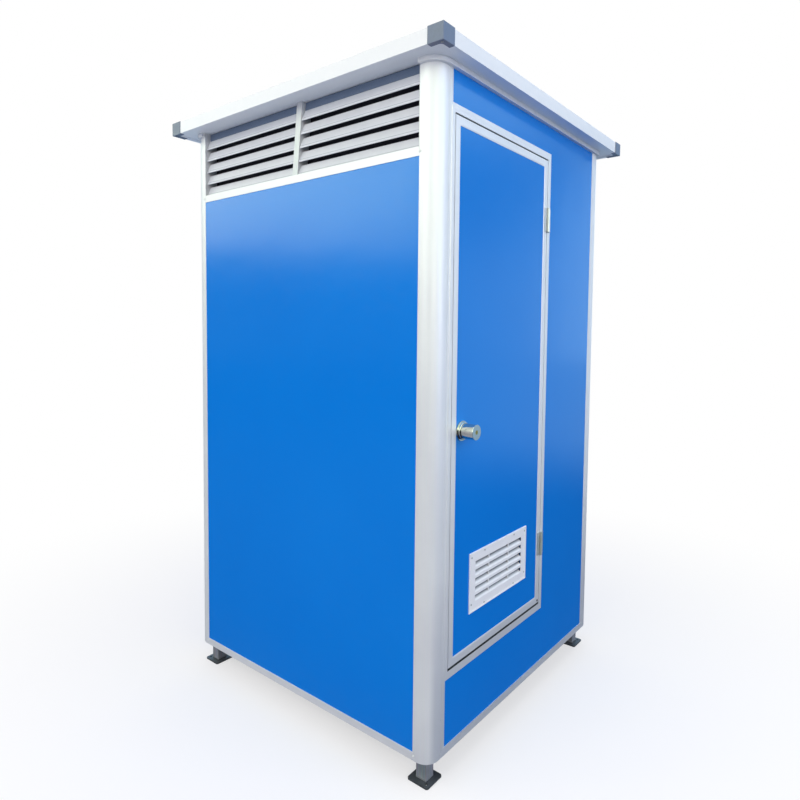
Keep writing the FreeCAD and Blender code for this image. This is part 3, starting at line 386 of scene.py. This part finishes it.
def extruded_aluminium(name, stretch, dark="dcdee1", light="e8e9ea"):
    """Satin extrusion whose die lines run along the axis with the small stretch value."""
    made, shader, spot = start_material(name)
    # Real die lines are about half a millimetre apart; these are 3 mm apart so that they show.
    flow = add_node(made, "ShaderNodeMapping", {"Vector": spot, "Scale": stretch})
    lines = add_node(made, "ShaderNodeTexNoise", {
        "Vector": flow.outputs[0], "Scale": 330, "Detail": 3, "Roughness": 0.6})
    # The etched surface is faintly cloudy.
    cloudy = add_node(made, "ShaderNodeTexNoise", {
        "Vector": spot, "Scale": 5.5, "Detail": 5, "Roughness": 0.6})
    tone = add_node(made, "ShaderNodeMix", {
        "Factor": cloudy.outputs["Fac"], 6: hex_colour(dark), 7: hex_colour(light)},
        data_type="RGBA")
    streak = add_node(made, "ShaderNodeMix", {
        "Factor": 0.12, 6: tone.outputs[2], 7: lines.outputs["Color"]},
        data_type="RGBA", blend_type="OVERLAY")
    # Painted shade greys the sill and the rail below it, on the door's side only, where light
    # falls off.
    axes = add_node(made, "ShaderNodeSeparateXYZ", {0: spot})
    low = add_node(made, "ShaderNodeMapRange", {
        "Value": axes.outputs["Z"], "From Min": 0.15, "From Max": 0.75,
        "To Min": 0.43, "To Max": 0.0}, interpolation_type="SMOOTHSTEP")
    front = add_node(made, "ShaderNodeMapRange", {
        "Value": axes.outputs["Y"], "From Min": -0.622, "From Max": -0.612,
        "To Min": 1.0, "To Max": 0.0})
    low_front_shade = add_node(made, "ShaderNodeMath", {
        0: low.outputs["Result"], 1: front.outputs["Result"]}, operation="MULTIPLY")
    shaded_low_front = add_node(made, "ShaderNodeMix", {
        "Factor": low_front_shade.outputs[0], 6: streak.outputs[2], 7: hex_colour("9299a9")},
        data_type="RGBA")
    gloss = add_node(made, "ShaderNodeMath", {
        0: lines.outputs["Fac"], 1: cloudy.outputs["Fac"]}, operation="MULTIPLY")
    rough = add_node(made, "ShaderNodeMapRange", {
        "Value": gloss.outputs[0], "From Min": 0.1, "From Max": 0.4,
        "To Min": 0.38, "To Max": 0.52})
    relief = add_node(made, "ShaderNodeBump", {
        "Strength": 0.22, "Distance": 0.0002, "Height": lines.outputs["Fac"]})
    join(made, shaded_low_front.outputs[2], shader.inputs["Base Color"])
    join(made, rough.outputs["Result"], shader.inputs["Roughness"])
    join(made, relief.outputs[0], shader.inputs["Normal"])
    shader.inputs["Metallic"].default_value = 0.23
    return made


upright, across, deep = (1, 1, 0.012), (0.012, 1, 1), (1, 0.012, 1)
upright_aluminium = extruded_aluminium("anodised aluminium, upright", upright)
across_aluminium = extruded_aluminium("anodised aluminium, left to right", across)
deep_aluminium = extruded_aluminium("anodised aluminium, front to back", deep)
dress(upright_aluminium, "post_front_left", "post_front_right", "post_back_left",
      "post_back_right", "front_edge_channels")
dress(across_aluminium, "bottom_rails", "top_rail_front", "top_rail_back")
dress(deep_aluminium, "mid_rails")


def start_screw(radius, height):
    """Pan head with a rounded rim and a tapered recess, standing on the origin."""
    bpy.ops.object.select_all(action="DESELECT")
    bpy.ops.mesh.primitive_cylinder_add(vertices=20, radius=radius, depth=height,
                                        location=(0, 0, height / 2))
    head = bpy.context.object
    bpy.ops.object.transform_apply(location=True, rotation=True, scale=True)
    bpy.ops.object.mode_set(mode="EDIT")
    bpy.ops.mesh.select_mode(type="FACE")
    select_faces(head, lambda centre, normal: normal.z > 0.9)
    bpy.ops.mesh.bevel(offset=height * 0.7, segments=3, affect="EDGES")
    select_faces(head, lambda centre, normal: normal.z > 0.99 and centre.z > height * 0.99)
    bpy.ops.mesh.inset(thickness=radius * 0.25)
    bpy.ops.mesh.extrude_region_move(TRANSFORM_OT_translate={"value": (0, 0, -height * 0.6)})
    bpy.ops.transform.resize(value=(0.5, 0.5, 1))
    bpy.ops.object.mode_set(mode="OBJECT")
    return head


# Aluminium screws hold the foot of every post and the ends of the mid rails; the front posts
# carry one more on the door's side, 130 mm up.
wall_half = 0.625
flange_middle = 0.5635
foot_level, door_side_level, mid_rail_level = 0.103, 0.218, 1.988
post_screw_places = []
for side in (-1, 1):
    for end in (-1, 1):
        on_side = (side * wall_half, end * flange_middle)
        on_end = (side * flange_middle, end * wall_half)
        post_screw_places.append(((*on_side, foot_level), (side, 0, 0)))
        post_screw_places.append(((*on_end, foot_level), (0, end, 0)))
        post_screw_places.append(((*on_side, mid_rail_level), (side, 0, 0)))
    post_screw_places.append(((side * flange_middle, -wall_half, door_side_level), (0, -1, 0)))
post_screws = spread(start_screw(0.004, 0.0018), post_screw_places)
finish_piece(post_screws, "post_screws", upright_aluminium, "cabin")

# Wall panels
# Foam core sandwich panels: coil coated steel skins, gloss blue outside and off-white inside.
# The thin skins are a little wavy, so reflections wander, and dust gathers low down.


def coated_skin(name, outer, outer_light, inner):
    """Gloss coil coating, with another colour on the side that faces the room."""
    made, shader, spot = start_material(name)
    axes = add_node(made, "ShaderNodeSeparateXYZ", {0: spot})
    far_x = add_node(made, "ShaderNodeMath", {0: axes.outputs["X"]}, operation="ABSOLUTE")
    far_y = add_node(made, "ShaderNodeMath", {0: axes.outputs["Y"]}, operation="ABSOLUTE")
    far = add_node(made, "ShaderNodeMath", {0: far_x.outputs[0], 1: far_y.outputs[0]},
                   operation="MAXIMUM")
    # The colour changes within the panels' thickness, this far out from the middle.
    colour_change = 0.604
    outside = add_node(made, "ShaderNodeMath", {0: far.outputs[0], 1: colour_change},
                       operation="GREATER_THAN")
    drift = add_node(made, "ShaderNodeTexNoise", {"Vector": spot, "Scale": 1.7, "Detail": 3})
    blue = add_node(made, "ShaderNodeMix", {
        "Factor": drift.outputs["Fac"], 6: hex_colour(outer), 7: hex_colour(outer_light)},
        data_type="RGBA")
    skin = add_node(made, "ShaderNodeMix", {
        "Factor": outside.outputs[0], 6: hex_colour(inner), 7: blue.outputs[2]},
        data_type="RGBA")
    low = add_node(made, "ShaderNodeMapRange", {
        "Value": axes.outputs["Z"], "From Min": 0.09, "From Max": 0.34,
        "To Min": 0.08, "To Max": 0.0}, interpolation_type="SMOOTHSTEP")
    patches = add_node(made, "ShaderNodeTexNoise", {
        "Vector": spot, "Scale": 26, "Detail": 8, "Roughness": 0.7})
    settled = add_node(made, "ShaderNodeMath", {
        0: low.outputs["Result"], 1: patches.outputs["Fac"]}, operation="MULTIPLY")
    faint = add_node(made, "ShaderNodeMath", {0: settled.outputs[0], 1: 0.35},
                     operation="MULTIPLY")
    dusty = add_node(made, "ShaderNodeMix", {
        "Factor": faint.outputs[0], 6: skin.outputs[2], 7: hex_colour("8f9aa8")},
        data_type="RGBA")
    rough = add_node(made, "ShaderNodeMapRange", {
        "Value": patches.outputs["Fac"], "From Min": 0.3, "From Max": 0.75,
        "To Min": 0.13, "To Max": 0.22})
    wave = add_node(made, "ShaderNodeTexNoise", {"Vector": spot, "Scale": 3.1, "Detail": 1})
    swell = add_node(made, "ShaderNodeBump", {
        "Strength": 0.35, "Distance": 0.004, "Height": wave.outputs["Fac"]})
    # Orange peel in the coating, drawn 4 mm across so that it shows.
    peel = add_node(made, "ShaderNodeTexNoise", {"Vector": spot, "Scale": 250, "Detail": 1})
    skin_relief = add_node(made, "ShaderNodeBump", {
        "Strength": 0.12, "Distance": 0.00012, "Height": peel.outputs["Fac"],
        "Normal": swell.outputs[0]})
    join(made, dusty.outputs[2], shader.inputs["Base Color"])
    join(made, rough.outputs["Result"], shader.inputs["Roughness"])
    join(made, skin_relief.outputs[0], shader.inputs["Normal"])
    # Reflections in this coating lean to cyan.
    shader.inputs["Specular Tint"].default_value = hex_colour("eeffd4")
    return made


blue_coat = coated_skin("gloss blue coil coating", "0076d5", "067fdd", "e4e7e8")
dress(blue_coat, "panel_left", "panel_right", "panel_back", "panel_front_lower",
      "panel_front_header", "panel_front_side", "door_panel")

# Louvers
# Rolled blades with a beaded lip, stove enamelled light grey, between aluminium side plates and
# a mullion. Fine dust dulls the slopes behind each lip.
blade_foot = 2.001
blade_pitch = 0.0472
enamel, shader, spot = start_material("stove enamel, light grey")
dust = add_node(enamel, "ShaderNodeTexNoise", {
    "Vector": spot, "Scale": 18, "Detail": 6, "Roughness": 0.65})
grey = add_node(enamel, "ShaderNodeMix", {
    "Factor": dust.outputs["Fac"], 6: hex_colour("c4c8ce"), 7: hex_colour("d8dbdf")},
    data_type="RGBA")
dull = add_node(enamel, "ShaderNodeMapRange", {
    "Value": dust.outputs["Fac"], "From Min": 0.3, "From Max": 0.7,
    "To Min": 0.32, "To Max": 0.5})
fine = add_node(enamel, "ShaderNodeTexNoise", {"Vector": spot, "Scale": 600, "Detail": 2})
enamel_grain = add_node(enamel, "ShaderNodeBump", {
    "Strength": 0.1, "Distance": 0.0002, "Height": fine.outputs["Fac"]})
# A painted shade line darkens the fold above each blade's lip. It is drawn 3 mm wide so that it
# shows.
blade_axes = add_node(enamel, "ShaderNodeSeparateXYZ", {0: spot})
above_rail = add_node(enamel, "ShaderNodeMath", {0: blade_axes.outputs["Z"], 1: blade_foot},
                      operation="SUBTRACT")
above_lip = add_node(enamel, "ShaderNodeMath", {0: above_rail.outputs[0], 1: blade_pitch},
                     operation="MODULO")
fold = add_node(enamel, "ShaderNodeMath", {0: above_lip.outputs[0], 1: 0.0075, 2: 0.0015},
                operation="COMPARE")
fold_shade = add_node(enamel, "ShaderNodeMath", {0: fold.outputs[0], 1: 0.45}, operation="MULTIPLY")
lined = add_node(enamel, "ShaderNodeMix", {
    "Factor": fold_shade.outputs[0], 6: grey.outputs[2], 7: hex_colour("6f7580")}, data_type="RGBA")
join(enamel, lined.outputs[2], shader.inputs["Base Color"])
join(enamel, dull.outputs["Result"], shader.inputs["Roughness"])
join(enamel, enamel_grain.outputs[0], shader.inputs["Normal"])
dress(enamel, "louver_blades_left", "louver_blades_right")

# The mullions and side plates are not anodised and have dulled.
dull_aluminium = extruded_aluminium("mill finish aluminium", upright, "bfc2c6", "cdcfd2")
dress(dull_aluminium, "louver_frames", "louver_mullions")


def add_strip(name, low, high, rounding, material, body):
    """Strip between two corners, with rounded edges."""
    piece = start_block(low, high)
    soften(piece, rounding)
    finish_piece(piece, name, material, body)


def add_louver_strips(name, inner, outer, half_length, low, high, rounding, material):
    """The same strip behind the left and the right louver."""
    for suffix, side in (("left", -1), ("right", 1)):
        near, far = sorted((side * inner, side * outer))
        add_strip(f"{name}_{suffix}", (near, -half_length, low), (far, half_length, high),
                  rounding, material, "cabin")


# A grey foam strip closes the space between the top blade and the roof. Its dark colour is
# painted shade for the band of shadow under the roof's edge. Its cells are about 1.5 mm across.
shade_foam, shader, spot = start_material("grey foam strip, painted shade")
cells = add_node(shade_foam, "ShaderNodeTexVoronoi", {"Vector": spot, "Scale": 700})
foam_shade_tone = add_node(shade_foam, "ShaderNodeMix", {
    "Factor": cells.outputs["Distance"], 6: hex_colour("56667e"), 7: hex_colour("6c7c94")},
    data_type="RGBA")
foam_relief = add_node(shade_foam, "ShaderNodeBump", {
    "Strength": 0.5, "Distance": 0.0004, "Height": cells.outputs["Distance"]})
join(shade_foam, foam_shade_tone.outputs[2], shader.inputs["Base Color"])
join(shade_foam, foam_relief.outputs[0], shader.inputs["Normal"])
shader.inputs["Roughness"].default_value = 0.8
add_louver_strips("louver_head", 0.5985, 0.6005, 0.5565, 2.2275, 2.2538, 0.0006, shade_foam)

# A black screen of woven wire is stretched over each louver on the room's side. Its black is
# painted shade for the dark room behind, so the spaces between the blades read dark.
screen_shade_cloth, shader, spot = start_material("black insect screen, painted shade")
# Real wires are 1.4 mm apart; these are 3 mm apart so that they show.
warp = add_node(screen_shade_cloth, "ShaderNodeTexVoronoi", {
    "Vector": spot, "Scale": 330, "Randomness": 0.0})
hole = add_node(screen_shade_cloth, "ShaderNodeMapRange", {
    "Value": warp.outputs["Distance"], "From Min": 0.2, "From Max": 0.5})
sag = add_node(screen_shade_cloth, "ShaderNodeTexNoise", {"Vector": spot, "Scale": 14, "Detail": 4})
thread = add_node(screen_shade_cloth, "ShaderNodeMix", {
    "Factor": sag.outputs["Fac"], 6: hex_colour("1b1a24"), 7: hex_colour("2c2a37")},
    data_type="RGBA")
weave = add_node(screen_shade_cloth, "ShaderNodeBump", {
    "Strength": 0.6, "Distance": 0.0006, "Height": hole.outputs["Result"]})
join(screen_shade_cloth, thread.outputs[2], shader.inputs["Base Color"])
join(screen_shade_cloth, weave.outputs[0], shader.inputs["Normal"])
shader.inputs["Roughness"].default_value = 0.65
add_louver_strips("insect_screen", 0.5698, 0.5708, 0.556, 1.993, 2.253, 0.0003, screen_shade_cloth)

# Door frame and leaf frame
# The mitred frame in the wall, the stops behind the leaf and the mitred channels round the leaf
# are the same anodised extrusions as the posts.
dress(upright_aluminium, "door_jamb_latch", "door_jamb_hinge", "door_stops", "door_stile_latch",
      "door_stile_hinge")
dress(across_aluminium, "door_head", "door_sill", "door_rail_top", "door_rail_bottom")

# A black rubber seal lines the frame round the leaf and stops short of the strike plate. Its
# black is partly painted shade: with the strip on the sill's lip it stands in for the shadow in
# the joint round the leaf.
rubber = one_noise_finish("black EPDM rubber", (60, 5), ("0b0c0e", "17191c"), (0.3, 0.0003), 0.7)
seal_front, seal_back, frame_face = -0.622, -0.589, -0.624
frame_left, frame_right = -0.5330, 0.1050
latch_left, latch_right = -0.5332, -0.5313
frame_foot, frame_top = 0.3612, 2.1138
seal_boxes = {
    "door_seal_hinge": ((0.1021, seal_front, frame_foot), (0.1052, seal_back, frame_top)),
    "door_seal_head": ((frame_left, frame_face, 2.1092), (frame_right, seal_back, 2.1142)),
    "door_seal_sill": ((frame_left, frame_face, 0.3608), (frame_right, seal_back, 0.3692)),
    "door_sill_shade_strip": ((frame_left, -0.6264, 0.3562), (frame_right, frame_face, 0.3690)),
    "door_seal_latch_low": ((latch_left, seal_front, frame_foot),
                            (latch_right, seal_back, 1.1010)),
    "door_seal_latch_high": ((latch_left, seal_front, 1.1610),
                             (latch_right, seal_back, frame_top)),
}
for name, (low_corner, high_corner) in seal_boxes.items():
    add_strip(name, low_corner, high_corner, 0.0006, rubber, "cabin")

# A black plug closes the lower corner of the leaf's frame on the hinge side.
plug = spread(start_screw(0.0045, 0.002), [((0.0925, -0.6262, 0.379), (0, -1, 0))])
finish_piece(plug, "leaf_corner_plug", rubber, "door")

# Ventilation grilles
# One injection moulded white grille on each face of the leaf, with a slight moulded grain. The
# cistern, its pipe and the light switch are moulded in the same white plastic.
leaf_middle = -0.608
grille_x, grille_z = -0.214, 0.6075
moulded, shader, spot = start_material("moulded white ABS")
cloud = add_node(moulded, "ShaderNodeTexNoise", {"Vector": spot, "Scale": 30, "Detail": 5})
pale_white = add_node(moulded, "ShaderNodeMix", {
    "Factor": cloud.outputs["Fac"], 6: hex_colour("eaecef"), 7: hex_colour("f3f4f5")},
    data_type="RGBA")
sheen = add_node(moulded, "ShaderNodeMapRange", {
    "Value": cloud.outputs["Fac"], "From Min": 0.1, "From Max": 0.9,
    "To Min": 0.32, "To Max": 0.36})
spark = add_node(moulded, "ShaderNodeTexNoise", {"Vector": spot, "Scale": 1400, "Detail": 2})
eroded = add_node(moulded, "ShaderNodeBump", {
    "Strength": 0.08, "Distance": 0.0001, "Height": spark.outputs["Fac"]})
# Painted shade darkens the grilles' slots and deepens between their two faces.
grille_axes = add_node(moulded, "ShaderNodeSeparateXYZ", {0: spot})
off_middle = add_node(moulded, "ShaderNodeMath", {
    0: grille_axes.outputs["Y"], 1: -leaf_middle}, operation="ADD")
from_middle = add_node(moulded, "ShaderNodeMath", {0: off_middle.outputs[0]},
                       operation="ABSOLUTE")
slot_shade = add_node(moulded, "ShaderNodeMapRange", {
    "Value": from_middle.outputs[0], "From Min": 0.0095, "From Max": 0.0158,
    "To Min": 0.85, "To Max": 0.0})
slot_shaded = add_node(moulded, "ShaderNodeMix", {
    "Factor": slot_shade.outputs["Result"], 6: pale_white.outputs[2], 7: hex_colour("6a7078")},
    data_type="RGBA")
join(moulded, slot_shaded.outputs[2], shader.inputs["Base Color"])
join(moulded, sheen.outputs["Result"], shader.inputs["Roughness"])
join(moulded, eroded.outputs[0], shader.inputs["Normal"])
dress(moulded, "vent_grilles", "cistern", "flush_pipe", "switch_plate", "switch_rocker")

# A rectangle of the same black insect screen, painted shade for the dark room behind the slots,
# is clamped between the two grilles.
add_strip("vent_screen", (grille_x - 0.185, leaf_middle - 0.0005, grille_z - 0.0895),
          (grille_x + 0.185, leaf_middle + 0.0005, grille_z + 0.0895), 0.0003, screen_shade_cloth, "door")

# Eight small screws hold each grille to the leaf.
outer_face, inner_face = -0.6275, -0.5885
grille_screws = []
for right, up in ((-0.185, 0.086), (0.185, 0.086), (-0.185, -0.074), (0.185, -0.074),
                  (-0.103, 0.092), (0.103, 0.092), (-0.103, -0.092), (0.103, -0.092)):
    grille_screws.append(((grille_x + right, outer_face, grille_z + up), (0, -1, 0)))
    grille_screws.append(((grille_x + right, inner_face, grille_z + up), (0, 1, 0)))

# Hinges and lock
# Pressed and turned stainless steel, brushed, with a zinc plated lock body inside the leaf and a
# brass key cylinder in the outer knob.


def brushed_metal(name, dark, light, stretch, smooth, coarse):
    """Metal with fine brush marks that run along the axis with the small stretch value."""
    made, shader, spot = start_material(name)
    flow = add_node(made, "ShaderNodeMapping", {"Vector": spot, "Scale": stretch})
    # Brush marks are drawn 1 mm apart so that they show.
    marks = add_node(made, "ShaderNodeTexNoise", {
        "Vector": flow.outputs[0], "Scale": 1000, "Detail": 4})
    tone = add_node(made, "ShaderNodeMix", {
        "Factor": marks.outputs["Fac"], 6: hex_colour(dark), 7: hex_colour(light)},
        data_type="RGBA")
    rough = add_node(made, "ShaderNodeMapRange", {
        "Value": marks.outputs["Fac"], "From Min": 0.3, "From Max": 0.7,
        "To Min": smooth, "To Max": coarse})
    relief = add_node(made, "ShaderNodeBump", {
        "Strength": 0.15, "Distance": 0.0001, "Height": marks.outputs["Fac"]})
    join(made, tone.outputs[2], shader.inputs["Base Color"])
    join(made, rough.outputs["Result"], shader.inputs["Roughness"])
    join(made, relief.outputs[0], shader.inputs["Normal"])
    shader.inputs["Metallic"].default_value = 1.0
    return made


# The hinges are dull beside the polished knobs; zinc shows grey and brass a warm yellow.
along_y, even = (1, 0.05, 1), (1, 1, 1)
stainless = brushed_metal("brushed stainless steel", "bab8ba", "dedbde", (1, 1, 0.05), 0.45, 0.62)
zinc = brushed_metal("zinc plated steel", "9a9c9e", "c4c6c8", even, 0.3, 0.45)
brass = brushed_metal("turned brass", "a98a3e", "d2b56a", along_y, 0.22, 0.36)
polished = brushed_metal("polished stainless steel", "aeaca7", "dedbd5", along_y, 0.08, 0.2)
dress(stainless, "hinge_frame_leaves", "hinge_door_leaves", "hinge_pins", "strike_plate")
dress(polished, "lock_roses", "knobs", "turn_button")
dress(zinc, "latch_case", "latch_bolt")
dress(brass, "key_plug")
finish_piece(spread(start_screw(0.003, 0.0014), grille_screws), "grille_screws", zinc, "door")

# Three low pan head screws hold each leaf of each hinge, and a domed cap ends each pin.
pin_x, pin_y, leaf_face = 0.10325, -0.633, -0.629
hinge_levels = (0.610, 1.883)
screw_levels = [level + step for level in hinge_levels for step in (-0.032, 0.0, 0.032)]
for name, x, body in (("hinge_screws_frame", 0.1185, "cabin"),
                      ("hinge_screws_door", 0.0880, "door")):
    leaf_screws = [((x, leaf_face, z), (0, -1, 0)) for z in screw_levels]
    finish_piece(spread(start_screw(0.0036, 0.0009), leaf_screws), name, stainless, body)
pin_ends = [((pin_x, pin_y, level + half * 0.045), (0, 0, half))
            for level in hinge_levels for half in (-1, 1)]
finish_piece(spread(start_screw(0.0045, 0.0025), pin_ends), "hinge_pin_caps", stainless, "cabin")

lock_x, lock_z = -0.4695, 1.131


def add_ring(name, y, radius, thickness, body):
    """Rolled bead of round section about the lock's axis."""
    bpy.ops.object.select_all(action="DESELECT")
    bpy.ops.mesh.primitive_torus_add(major_radius=radius, minor_radius=thickness,
                                     major_segments=72, minor_segments=10,
                                     location=(lock_x, y, lock_z), rotation=(math.pi / 2, 0, 0))
    finish_piece(bpy.context.object, name, polished, body)


# Spun knobs and roses have rolled edges: a bead runs round each knob's end and each rose's rim.
add_ring("knob_end_bead_outer", -0.6808, 0.0236, 0.0012, "knobs")
add_ring("knob_end_bead_inner", -0.5352, 0.0236, 0.0012, "knobs")
add_ring("rose_bead_outer", -0.6365, 0.0272, 0.0010, "door")
add_ring("rose_bead_inner", -0.5795, 0.0272, 0.0010, "door")

# Roof
# A white coated sandwich panel inside folded white edge channels, with a moulded slate grey cap
# pushed over each corner.
roof_coat, shader, spot = start_material("satin white coil coating")
# Weather has left the white slightly uneven, and the thin metal ripples.
weather = add_node(roof_coat, "ShaderNodeTexNoise", {
    "Vector": spot, "Scale": 7, "Detail": 7, "Roughness": 0.62})
film = add_node(roof_coat, "ShaderNodeMix", {
    "Factor": weather.outputs["Fac"], 6: hex_colour("dcdfe2"), 7: hex_colour("ebecec")},
    data_type="RGBA")
satin = add_node(roof_coat, "ShaderNodeMapRange", {
    "Value": weather.outputs["Fac"], "From Min": 0.3, "From Max": 0.7,
    "To Min": 0.28, "To Max": 0.42})
ripple = add_node(roof_coat, "ShaderNodeTexNoise", {"Vector": spot, "Scale": 4, "Detail": 1})
roof_relief = add_node(roof_coat, "ShaderNodeBump", {
    "Strength": 0.2, "Distance": 0.003, "Height": ripple.outputs["Fac"]})
join(roof_coat, film.outputs[2], shader.inputs["Base Color"])
join(roof_coat, satin.outputs["Result"], shader.inputs["Roughness"])
join(roof_coat, roof_relief.outputs[0], shader.inputs["Normal"])
dress(roof_coat, "roof_panel", "roof_edge_front", "roof_edge_back", "roof_edge_left",
      "roof_edge_right")

# The caps have a fine moulded grain and are rubbed paler in patches.
slate, shader, spot = start_material("moulded slate grey ABS")
rub = add_node(slate, "ShaderNodeTexNoise", {
    "Vector": spot, "Scale": 45, "Detail": 7, "Roughness": 0.7})
cap_tone = add_node(slate, "ShaderNodeMix", {
    "Factor": rub.outputs["Fac"], 6: hex_colour("4c566c"), 7: hex_colour("6d7891")},
    data_type="RGBA")
cap_gloss = add_node(slate, "ShaderNodeMapRange", {
    "Value": rub.outputs["Fac"], "From Min": 0.3, "From Max": 0.7,
    "To Min": 0.34, "To Max": 0.52})
cap_grain = add_node(slate, "ShaderNodeTexNoise", {"Vector": spot, "Scale": 1100, "Detail": 2})
cap_relief = add_node(slate, "ShaderNodeBump", {
    "Strength": 0.15, "Distance": 0.0002, "Height": cap_grain.outputs["Fac"]})
join(slate, cap_tone.outputs[2], shader.inputs["Base Color"])
join(slate, cap_gloss.outputs["Result"], shader.inputs["Roughness"])
join(slate, cap_relief.outputs[0], shader.inputs["Normal"])
dress(slate, "roof_corner_caps")

# One zinc plated rivet holds each cap from below.
cap_middle, cap_underside = 0.679, 2.252
rivets = [((x, y, cap_underside), (0, 0, -1))
          for x in (-cap_middle, cap_middle) for y in (-cap_middle, cap_middle)]
finish_piece(spread(start_screw(0.004, 0.0016), rivets), "cap_rivets", zinc, "cabin")

# Floor board
# Plywood faced with grey embossed sheet: small raised studs 20 mm apart give grip, and feet have
# worn the grey unevenly.
sheet, shader, spot = start_material("embossed grey floor sheet")
studs = add_node(sheet, "ShaderNodeTexVoronoi", {
    "Vector": spot, "Scale": 50, "Randomness": 0.0}, voronoi_dimensions="2D")
raised = add_node(sheet, "ShaderNodeMapRange", {
    "Value": studs.outputs["Distance"], "From Min": 0.22, "From Max": 0.34,
    "To Min": 1.0, "To Max": 0.0})
stud_relief = add_node(sheet, "ShaderNodeBump", {
    "Strength": 0.7, "Distance": 0.0012, "Height": raised.outputs["Result"]})
tread = add_node(sheet, "ShaderNodeTexNoise", {"Vector": spot, "Scale": 9, "Detail": 6})
sheet_tone = add_node(sheet, "ShaderNodeMix", {
    "Factor": tread.outputs["Fac"], 6: hex_colour("63686b"), 7: hex_colour("7d8284")},
    data_type="RGBA")
join(sheet, sheet_tone.outputs[2], shader.inputs["Base Color"])
join(sheet, stud_relief.outputs[0], shader.inputs["Normal"])
shader.inputs["Roughness"].default_value = 0.55
dress(sheet, "floor_panel")

# Squat pan
# Slip cast vitreous china with a thick clear glaze that pools a little on its slopes, so its
# highlights are sharp but wander.
glaze = one_noise_finish("glazed vitreous china", (12, 4), ("eceeed", "f6f6f3"), (0.1, 0.001),
                         0.09)
glaze.node_tree.nodes["Principled BSDF"].inputs["Coat Weight"].default_value = 0.5
dress(glaze, "squat_pan")

# Raised ribs across the foot rests, glazed with the rest of the pan.
rib = start_block((-0.040, -0.004, 0), (0.040, 0.004, 0.003))
soften(rib, 0.0022)
rest_middle, first_rib, rib_pitch, rest_top = 0.158, 0.086, 0.0285, 0.381
rib_places = [((x, first_rib + rib_pitch * step, rest_top), (0, 0, 1))
              for x in (-rest_middle, rest_middle) for step in range(9)]
finish_piece(spread(rib, rib_places), "foot_rest_ribs", glaze, "cabin")

# A rubber cone seals the flush pipe to the pan: broad at its foot, with a rolled lip at its top.
bpy.ops.object.select_all(action="DESELECT")
bpy.ops.mesh.primitive_cylinder_add(vertices=36, radius=0.030, depth=0.006,
                                    location=(0, 0.448, 0.377))
cone = bpy.context.object
bpy.ops.object.transform_apply(location=True, rotation=True, scale=True)
bpy.ops.object.mode_set(mode="EDIT")
bpy.ops.mesh.select_mode(type="FACE")
select_faces(cone, lambda centre, normal: normal.z > 0.9)
for rise, scale in ((0.016, 0.68), (0.004, 1.12), (0.004, 0.95)):
    bpy.ops.mesh.extrude_region_move(TRANSFORM_OT_translate={"value": (0, 0, rise)})
    bpy.ops.transform.resize(value=(scale, scale, 1))
bpy.ops.object.mode_set(mode="OBJECT")
soften(cone, 0.0012)
finish_piece(cone, "flush_pipe_cone", rubber, "cabin")

# Soil pipe
# Extruded grey PVC with a dull skin that is slightly uneven from the die. It carries the pan's
# waste down under the floor.
pvc = one_noise_finish("extruded grey PVC", (22, 5), ("94989b", "a9adb0"), (0.2, 0.0005), 0.42)
dress(pvc, "soil_pipe")

# Flush button
# A chrome plated moulding in the cistern's lid, bright beside the white plastic. A thin plated
# frame lines the mouth of its well.
plated = brushed_metal("bright chrome plate", "d5d8da", "eceeef", even, 0.06, 0.12)
dress(plated, "flush_button")
bpy.ops.object.select_all(action="DESELECT")
bpy.ops.mesh.primitive_plane_add(size=1, location=(0, 0.498, 1.2572))
bezel = bpy.context.object
bpy.ops.object.mode_set(mode="EDIT")
bpy.ops.mesh.select_all(action="SELECT")
bpy.ops.transform.resize(value=(0.066, 0.046, 1))
bpy.ops.mesh.inset(thickness=0.0047)
bpy.ops.mesh.delete(type="FACE")
bpy.ops.object.mode_set(mode="OBJECT")
plate_wall = bezel.modifiers.new("sheet", "SOLIDIFY")
plate_wall.thickness = 0.0012
soften(bezel, 0.0004)
finish_piece(bezel, "button_bezel", plated, "cabin")

# Ceiling lamp
# A square opal polycarbonate cover, milky and smooth. It clips into a moulded white tray that is
# screwed to the roof panel.
opal = one_noise_finish("opal polycarbonate", (16, 3), ("f1f1ec", "f8f8f5"), (0.15, 0.0005), 0.3)
dress(opal, "ceiling_lamp")
add_strip("lamp_tray", (-0.108, -0.108, 2.246), (0.108, 0.108, 2.256), 0.0015, moulded, "cabin")
